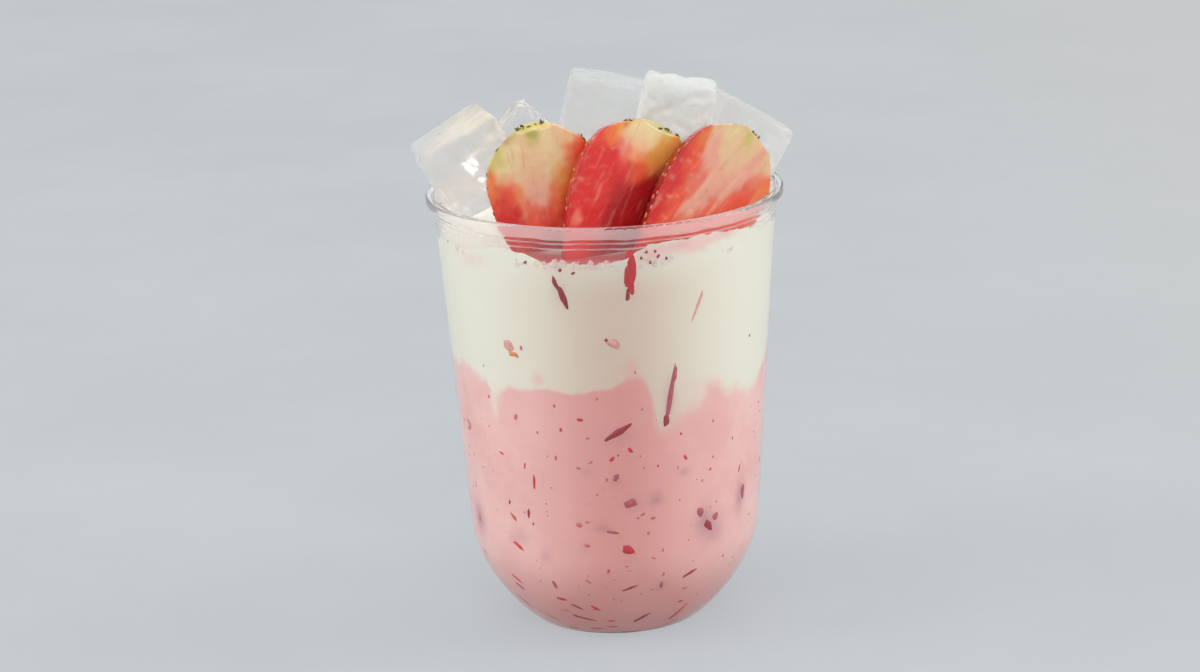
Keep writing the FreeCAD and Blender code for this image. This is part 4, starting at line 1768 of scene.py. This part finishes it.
@dataclass
class Ice:
    """Melted cubes made from the CAD cubes. Sizes in millimetres.

    Args:
        cubes: How the cubes have melted that differ from the usual one, by name.
        dent_share: Depth of the small dents as a share of the hollows'.
    """

    cubes: dict[str, Cube]
    usual: Cube = Cube(IceKind.CLOUDY, 4, 0.35)
    voxel: float = 0.7
    hollow_size: float = 8.0
    dent_size: float = 2.6
    dent_share: float = 0.45

    @staticmethod
    def finishes(effects: SharedEffects) -> dict[IceKind, Material]:
        """The materials of clear, cloudy and frosted ice.

        Args:
            effects: The shared node groups.

        Returns:
            The materials by kind.
        """
        kinds = {
            # The last colour of the clear and cloudy ice is the tint of their painted peach highlights.
            IceKind.CLEAR: dict(colour=(0.985, 0.99, 0.99), ior=1.31, roughness=0.12, transmission=0.94,
                                dent_scale=95.0, dent_depth=0.0006, shadow=0.95, painted_light_tone=(1.0, 0.95, 0.89)),
            IceKind.CLOUDY: dict(colour=(0.965, 0.967, 0.96), ior=1.13, roughness=0.36, transmission=0.90,
                                 dent_scale=190.0, dent_depth=0.0016, shadow=0.95, painted_light_tone=(0.985, 0.93, 0.865)),
            IceKind.FROSTED: dict(colour=(0.83, 0.845, 0.825), ior=1.31, roughness=0.45, transmission=0.55,
                                  dent_scale=170.0, dent_depth=0.0014, shadow=0.85),
        }
        return {kind: GlassFinish(kind.value, **look).material(effects) for kind, look in kinds.items()}

    def melted(self, node: Object, cube: Cube, number: int) -> tuple[BMesh, Array]:
        """One cube's shape, and how much painted peach highlight its rounded edges take at each vertex.

        Args:
            node: The CAD node.
            cube: How it has melted.
            number: Its place in the row of cubes.

        Returns:
            The shape and the painted edge highlight.
        """
        bm, before = softened(node, self.voxel, cube.rounds, 0.6)
        places = coordinates(bm)
        # Painted highlight: the further the smoothing moved a vertex, the more of the peach edge tint it
        # takes.
        painted_edge_highlight = smoothstep(0.08, 0.45, np.linalg.norm(places - before, axis=1))
        broad = smoothstep(-0.35, 0.55, noise_field(places, self.hollow_size, 2.0 + number))
        small = smoothstep(0.10, 0.45, noise_field(places, self.dent_size, 7.0 + number))
        hollows = cube.hollows * broad + self.dent_share * cube.hollows * small
        move_to(bm, places - normals_of(bm) * hollows[:, None])
        return bm, painted_edge_highlight

    def build(self, nodes: dict[str, Object], effects: SharedEffects) -> list[Object]:
        """Make every cube, and return the pieces.

        Args:
            nodes: The cubes' CAD nodes by name.
            effects: The shared node groups.

        Returns:
            The pieces.
        """
        finishes = self.finishes(effects)
        pieces = []
        for number, (name, node) in enumerate(nodes.items()):
            cube = self.cubes.get(name, self.usual)
            bm, painted_edge_highlight = self.melted(node, cube, number)
            piece = add_piece(name + "_melted", bm, finishes[cube.kind], [name])
            paint(piece, "painted_edge_highlight", painted_edge_highlight)
            pieces.append(piece)
        return pieces


@dataclass
class Bubbles:
    """Bubbles where the milk meets the wall: clusters at a bearing in degrees, with their number."""

    cup: Cup
    level: float
    seed: int = 21
    clusters: tuple[tuple[float, int], ...] = (
        (-27, 4), (-23, 8), (-18, 11), (-12, 9), (-6, 8), (0, 6), (13, 8), (18, 9), (-60, 6), (45, 6),
        (100, 8), (150, 8), (-120, 8), (-165, 6))

    def build(self, effects: SharedEffects) -> None:
        """Make all bubbles as one piece.

        Args:
            effects: The shared node groups.
        """
        rng = random.Random(self.seed)
        bm = bmesh.new()
        for bearing, count in self.clusters:
            for _ in range(count):
                radius = rng.uniform(0.25, 0.85)
                place, (_, _, out) = self.cup.wall_frame(
                    bearing + rng.gauss(0, 3.0), self.level + rng.uniform(-1.2, 0.8))
                centre = place + out * (0.22 - radius * 0.5)
                add_ball(bm, Matrix.Translation(centre * MM), 3, radius * MM)
        finish = GlassFinish("bubble_film", (1.0, 0.95, 0.94), 1.42, 0.04, transmission=0.82, shadow=0.95)
        add_piece("milk_bubbles", bm, finish.material(effects))


# --- Studio


@dataclass(frozen=True)
class Studio:
    """Camera, floor, world and lamps. Metres and degrees.

    Args:
        floor_albedo: Share of its tone's light that the board gives back.
        floor_share: Share of the board's look that keeps its tone whatever the light.
    """

    target: tuple[float, float, float] = (0.0, 0.0, 0.05894)
    distance: float = 0.8
    elevation: float = 17.13
    roll: float = 1.92
    lens: float = 88.47
    shift: tuple[float, float] = (-0.0095, 0.05225)
    floor_tone: Colour = linear(198, 203, 207)
    floor_low: Colour = linear(194, 199, 203)
    warm_tone: Colour = linear(202, 202, 201)
    floor_albedo: float = 0.80
    floor_share: float = 0.66
    world_light: float = 0.92
    side_power: float = 4.6
    front_power: float = 7.3

    def camera(self) -> None:
        """Place the camera."""
        data = bpy.data.cameras.new("camera")
        data.lens = self.lens
        data.sensor_width = 36.0
        data.shift_x, data.shift_y = self.shift
        data.clip_start, data.clip_end = 0.01, 50.0
        camera = new_object("camera", data)
        rise = math.radians(self.elevation)
        place = Vector(self.target) + self.distance * Vector((0, -math.cos(rise), math.sin(rise)))
        turn = Matrix.Rotation(math.pi / 2 - rise, 4, "X") @ Matrix.Rotation(-math.radians(self.roll), 4, "Z")
        camera.matrix_world = Matrix.Translation(place) @ turn
        bpy.context.scene.camera = camera

    def board(self) -> Material:
        """The floor's finish: plain clouds of tone that show at their own tone and keep the cup's shadow.

        Returns:
            The material.
        """
        material, nodes = new_material("painted_board")
        where = nodes.object_coordinates()
        broad = nodes.rise(nodes.noise(where, 7.0, 5.0, 0.6), 0.35, 0.65)
        fine = nodes.rise(nodes.noise(where, 60.0, 4.0, 0.6), 0.45, 0.75)
        side = nodes.rise(nodes.add("SeparateXYZ", {0: where}).outputs["X"], -0.05, 0.35)
        tone = nodes.mix(broad, self.floor_low, self.floor_tone)
        tone = nodes.mix(nodes.math("MULTIPLY", side, 0.6), tone, self.warm_tone)
        tone = nodes.mix(nodes.math("MULTIPLY", fine, 0.25), tone, self.floor_low)
        darker = nodes.mix(1.0 - self.floor_albedo, tone, (0.0, 0.0, 0.0))
        body = nodes.add("BsdfPrincipled", {"Base Color": darker, "Roughness": 0.75, "IOR": 1.3})
        shown = nodes.add("Emission", {"Color": tone, "Strength": 1.0})
        share = nodes.math("MULTIPLY", nodes.seen_directly(), self.floor_share)
        mixed = nodes.add("MixShader", {0: share, 1: body.outputs[0], 2: shown.outputs[0]})
        nodes.surface(mixed.outputs[0])
        return material

    def floor(self) -> None:
        """A plain pale board."""
        bm = bmesh.new()
        bmesh.ops.create_grid(bm, x_segments=2, y_segments=2, size=4.0)
        floor = new_piece("floor", bm)
        floor.data.materials.append(self.board())

    def world(self) -> None:
        """A plain pale surround."""
        world = bpy.data.worlds.new("surround")
        world.use_nodes = True
        nodes = Nodes(world.node_tree)
        seen = nodes.add("Background", {"Color": rgba(self.floor_tone), "Strength": 1.0})
        lit = nodes.add("Background", {"Color": (1.0, 1.0, 1.0, 1.0), "Strength": self.world_light})
        mixed = nodes.add("MixShader", {0: nodes.seen_directly(), 1: lit.outputs[0], 2: seen.outputs[0]})
        nodes.surface(mixed.outputs[0], "OutputWorld")
        bpy.context.scene.world = world

    def lamp(self, name: str, bearing: float, height: float, distance: float, size: float,
             power: float) -> None:
        """An area lamp that points at the cup.

        Args:
            name: Its name.
            bearing: Degrees from the front, towards +X.
            height: Its height.
            distance: From the cup's axis.
            size: Its width. It is 1.3 times as high.
            power: In watts.
        """
        data = bpy.data.lights.new(name, "AREA")
        data.shape = "RECTANGLE"
        data.size, data.size_y = size, 1.3 * size
        data.energy = power
        turn = math.radians(bearing)
        place = Vector((distance * math.sin(turn), -distance * math.cos(turn), height))
        aim = (Vector(self.target) - place).to_track_quat("-Z", "Y").to_matrix().to_4x4()
        new_object(name, data).matrix_world = Matrix.Translation(place) @ aim

    def build(self) -> None:
        """Set up the view and the light."""
        bpy.context.scene.view_settings.view_transform = "Standard"
        self.camera()
        self.floor()
        self.world()
        self.lamp("lamp_left", -82.0, 0.55, 1.0, 0.45, self.side_power)
        self.lamp("lamp_right", 86.0, 0.60, 1.0, 0.45, self.side_power)
        self.lamp("lamp_back", 175.0, 0.9, 1.2, 0.8, 0.5 * self.side_power)
        self.lamp("lamp_front", 8.0, 0.75, 1.5, 1.1, self.front_power)


# --- The three slices and their tones

EDGE_SEEDS = (0.29, 0.33, 0.37, 0.40, 0.44, 0.49, 0.53, 0.57, 0.62, 0.66, 0.71)
LEFT_SLICE = BerrySlice(
    node="strawberry_slice_left", tip=(-10.10, -28.32, 91.2), length=50.6, width=30.0,
    tilt=-8.2, yaw=8.0, lean=4.07, seed=3, seed_and_glint_tone=Tone.BROWN,
    dabs=dabs(
        (-20, 83, "CREAM", 12), (-45, 90, "PALE", 8), (-72, 88, "YELLOW", 7), (-75, 97, "GREEN", 5),
        (-45, 100, "GREEN", 4), (-4, 98, "GREEN", 4), (-12, 93, "YELLOW", 4), (40, 95, "CREAM", 9),
        (25, 88, "PALE", 9), (76, 92, "ORANGE", 5), (87, 85, "RED", 6), (66, 79, "SCARLET", 7),
        (46, 86, "ORANGE", 5), (32, 74, "AMBER", 7), (45, 68, "SCARLET", 6), (20, 63, "ORANGE", 6),
        (0, 76, "CREAM", 8), (-13, 69, "PINK", 8), (-87, 78, "ORANGE", 5), (-70, 80, "PALE", 5),
        (-92, 70, "ORANGE", 5), (-65, 69, "SCARLET", 6), (-45, 66, "ORANGE", 5), (-85, 60, "RED", 8),
        (-62, 54, "RED", 8), (-28, 53, "SCARLET", 7), (7, 52, "SCARLET", 7), (35, 48, "RED", 10),
        (70, 60, "RED", 10), (0, 32, "DEEP", 14),
    ),
    skin=dabs(
        (-100, 95, "GREEN", 8), (-100, 86, "YELLOW", 8), (-100, 74, "ORANGE", 7), (-100, 60, "SCARLET", 7),
        (-100, 40, "RED", 15), (100, 92, "ORANGE", 7), (100, 82, "RED", 8), (100, 55, "DEEP", 20),
        (0, 10, "RED", 30), (0, 100, "YELLOW", 8), (45, 100, "PALE", 8),
    ),
    veins=veins(
        (-56, 51, -33, 61, "PINK", 50, 55), (-42, 55, -20, 64, "CREAM", 40, 50),
        (-30, 50, -12, 60, "PINK", 40, 45), (-72, 58, -52, 64, "ROSE", 35, 50),
        (-48, 50, -30, 57, "ROSE", 30, 50), (-14, 52, 2, 62, "ROSE", 45, 40),
        (-2, 99, -10, 92, "GREEN", 90, 45), (-36, 95, -40, 86, "PALE", 70, 60),
        (16, 92, 5, 74, "PALE", 90, 45), (-60, 90, -50, 74, "PALE", 60, 40),
        (52, 90, 36, 72, "ORANGE", 80, 35), (-90, 81.5, -87, 79, "BROWN", 45, 80),
        (-85, 75, -82, 73, "BROWN", 50, 80), (-74, 60, -70, 59, "SKIN", 40, 70),
    ),
    leaves=((-0.30, 0.985), (-0.12, 0.99), (0.05, 0.985), (0.84, 0.86)),
    seeds=((-1, 0.93), (-1, 0.81), (-1, 0.74), (-1, 0.60), (1, 0.885), (1, 0.70)),
)
MIDDLE_SLICE = BerrySlice(
    node="strawberry_slice_middle", tip=(-9.51, -39.31, 95.2), length=51.6, width=33.6,
    tilt=32.0, yaw=26.0, lean=2.07, seed=7, seed_and_glint_tone=Tone.PAINTED_GLINT,
    dabs=dabs(
        (-90, 83, "SCARLET", 5), (-72, 87, "ORANGE", 5), (-60, 93, "AMBER", 4), (-40, 95, "PALE", 6),
        (-12, 97, "PALE", 7), (14, 98, "YELLOW", 5), (-42, 87, "PINK", 5), (-18, 89, "CREAM", 6),
        (16, 89, "AMBER", 6), (10, 82, "AMBER", 5), (50, 90, "AMBER", 10), (-14, 82, "ORANGE", 5),
        (-33, 80, "ROSE", 4), (4, 76, "SCARLET", 5), (-76, 77, "RED", 7), (-92, 67, "RED", 8),
        (-52, 72, "RED", 8), (-25, 70, "RED", 7), (-15, 60, "DEEP", 7), (-72, 54, "RED", 9),
        (-42, 54, "RED", 8), (20, 62, "DEEP", 9), (34, 75, "DEEP", 7), (0, 46, "DEEP", 10),
        (-60, 42, "ROSE", 3), (-40, 32, "RED", 12), (30, 30, "DEEP", 14),
    ),
    skin=dabs(
        (-100, 30, "SKIN", 40), (-100, 70, "SKIN", 10), (-95, 83, "RED", 7), (-60, 95, "AMBER", 7),
        (0, 100, "YELLOW", 12), (100, 85, "ORANGE", 12), (100, 60, "DEEP", 20), (100, 30, "SKIN", 30),
    ),
    veins=veins(
        (-99, 69, -82, 72, "ROSE", 35, 65), (-90, 65, -50, 72, "ROSE", 28, 55),
        (-95, 59, -74, 61, "PINK", 42, 75), (-80, 57.5, -56, 62, "ROSE", 30, 60),
        (-74, 49, -42, 55, "ROSE", 30, 55), (-82, 78.5, -64, 77, "ROSE", 35, 60),
        (-64, 80, -36, 83, "PINK", 32, 60), (-88, 53, -70, 54.5, "ROSE", 30, 60),
        (-70, 40, -50, 43, "PINK", 45, 50), (-86, 74, -70, 74.5, "SCARLET", 35, 70),
        (-60, 66, -36, 69, "SCARLET", 30, 55), (-50, 58, -28, 62, "SCARLET", 30, 50),
        (-62, 94, -54, 94, "BROWN", 50, 85), (-82, 46, -78, 46, "SEED", 40, 80),
        (30, 97, -10, 80, "AMBER", 100, 35), (2, 93, -30, 76, "CREAM", 70, 35),
    ),
    leaves=((0.10, 0.985), (0.24, 0.98), (-0.62, 0.93)),
    seeds=((-1, 0.72), (-1, 0.58), (-1, 0.46), (-1, 0.80)),
)
# The right slice has the most painted shade, as it faces the light most.
RIGHT_SLICE = BerrySlice(
    node="strawberry_slice_right", tip=(5.39, -42.10, 99.4), length=53.0, width=32.2,
    tilt=51.0, yaw=33.0, lean=1.07, seed=12, seed_and_glint_tone=Tone.PAINTED_GLINT, touch=9.0, fill=2.0, shade=0.84,
    dabs=dabs(
        (-86, 80, "ORANGE", 5), (-96, 74, "SCARLET", 5), (-73, 89, "CREAM", 5), (-50, 93, "PALE", 6),
        (-18, 97, "YELLOW", 5), (-30, 90, "CREAM", 6), (0, 92, "CREAM", 6), (-58, 84, "PINK", 5),
        (-50, 76, "PINK", 5), (-12, 84, "CREAM", 7), (-5, 76, "PINK", 7), (22, 90, "PINK", 6),
        (42, 94, "CREAM", 5), (46, 86, "ROSE", 5), (66, 84, "ORANGE", 5), (54, 75, "SCARLET", 6),
        (38, 64, "SCARLET", 7), (16, 72, "PINK", 6), (12, 60, "ROSE", 5), (-12, 62, "PINK", 6),
        (-16, 51, "PINK", 5), (-12, 42, "ROSE", 5), (18, 50, "SCARLET", 7), (-97, 64, "RED", 7),
        (-66, 67, "SCARLET", 6), (-42, 62, "ROSE", 5), (-82, 50, "RED", 8), (-48, 48, "SCARLET", 6),
        (-66, 36, "RED", 8), (-34, 35, "SCARLET", 6), (-30, 24, "RED", 9), (10, 30, "RED", 12),
    ),
    skin=dabs(
        (-100, 30, "SKIN", 40), (-100, 68, "SKIN", 10), (-95, 80, "RED", 5), (-70, 90, "CREAM", 6),
        (-20, 100, "YELLOW", 10), (40, 100, "PALE", 8), (90, 85, "ORANGE", 8), (100, 60, "RED", 15),
        (100, 30, "DEEP", 30),
    ),
    veins=veins(
        (-8, 82, -15, 44, "CREAM", 80, 45), (0, 80, 4, 50, "PINK", 60, 50),
        (-22, 74, -24, 46, "CREAM", 45, 45), (-2, 68, 5, 54, "ROSE", 55, 60),
        (14, 78, 20, 54, "CREAM", 45, 45), (9, 66, 12, 50, "SCARLET", 35, 45),
        (-10, 60, -6, 42, "ROSE", 40, 50), (-92, 63, -70, 67, "PINK", 42, 70),
        (-91, 53, -75, 55, "PINK", 50, 80), (-68, 46, -46, 51, "CREAM", 28, 70),
        (-52, 37, -30, 40, "PINK", 30, 65), (-64, 61, -38, 66, "PINK", 40, 55),
        (-80, 70, -50, 75, "PINK", 45, 60), (-56, 54, -32, 58, "PINK", 32, 50),
        (-78, 42, -56, 45, "ROSE", 28, 60), (-64, 31, -44, 34, "ROSE", 30, 60),
        (-76, 90, -71, 90, "BROWN", 60, 55), (-100, 75.5, -94, 76, "SKIN", 50, 85),
        (-93, 79, -90, 79, "BROWN", 40, 70), (-95, 53.5, -92, 54, "SKIN", 60, 60),
    ),
    leaves=((0.02, 0.985), (-0.08, 0.985)),
    seeds=(*((-1, up) for up in EDGE_SEEDS), (1, 0.84)),
)


def main() -> None:
    """Build the cup of strawberry milk round its CAD frame."""
    logging.basicConfig(level=logging.INFO, format="%(message)s")
    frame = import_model()
    nodes = frame["nodes"]
    effects = SharedEffects()
    Studio().build()

    cup = Cup()
    level, boundary = 108.0, 73.0
    cup.dress(nodes["cup"], effects)
    ice = Ice({"ice_on_edge": Cube(IceKind.CLEAR, 3, 0.35), "ice_frosted": Cube(IceKind.FROSTED, 9, 0.9),
               "ice_middle": Cube(IceKind.CLOUDY, 5, 0.5)})
    cubes = ice.build({name: node for name, node in nodes.items() if name.startswith("ice_")}, effects)
    flesh = Berries((LEFT_SLICE, MIDDLE_SLICE, RIGHT_SLICE)).build(cup, nodes, effects)
    Drink(cup, level, boundary).build(cubes + flesh, effects)
    BerryBits(cup).build(effects)
    Bubbles(cup, level).build(effects)


if __name__ == "__main__":
    main()
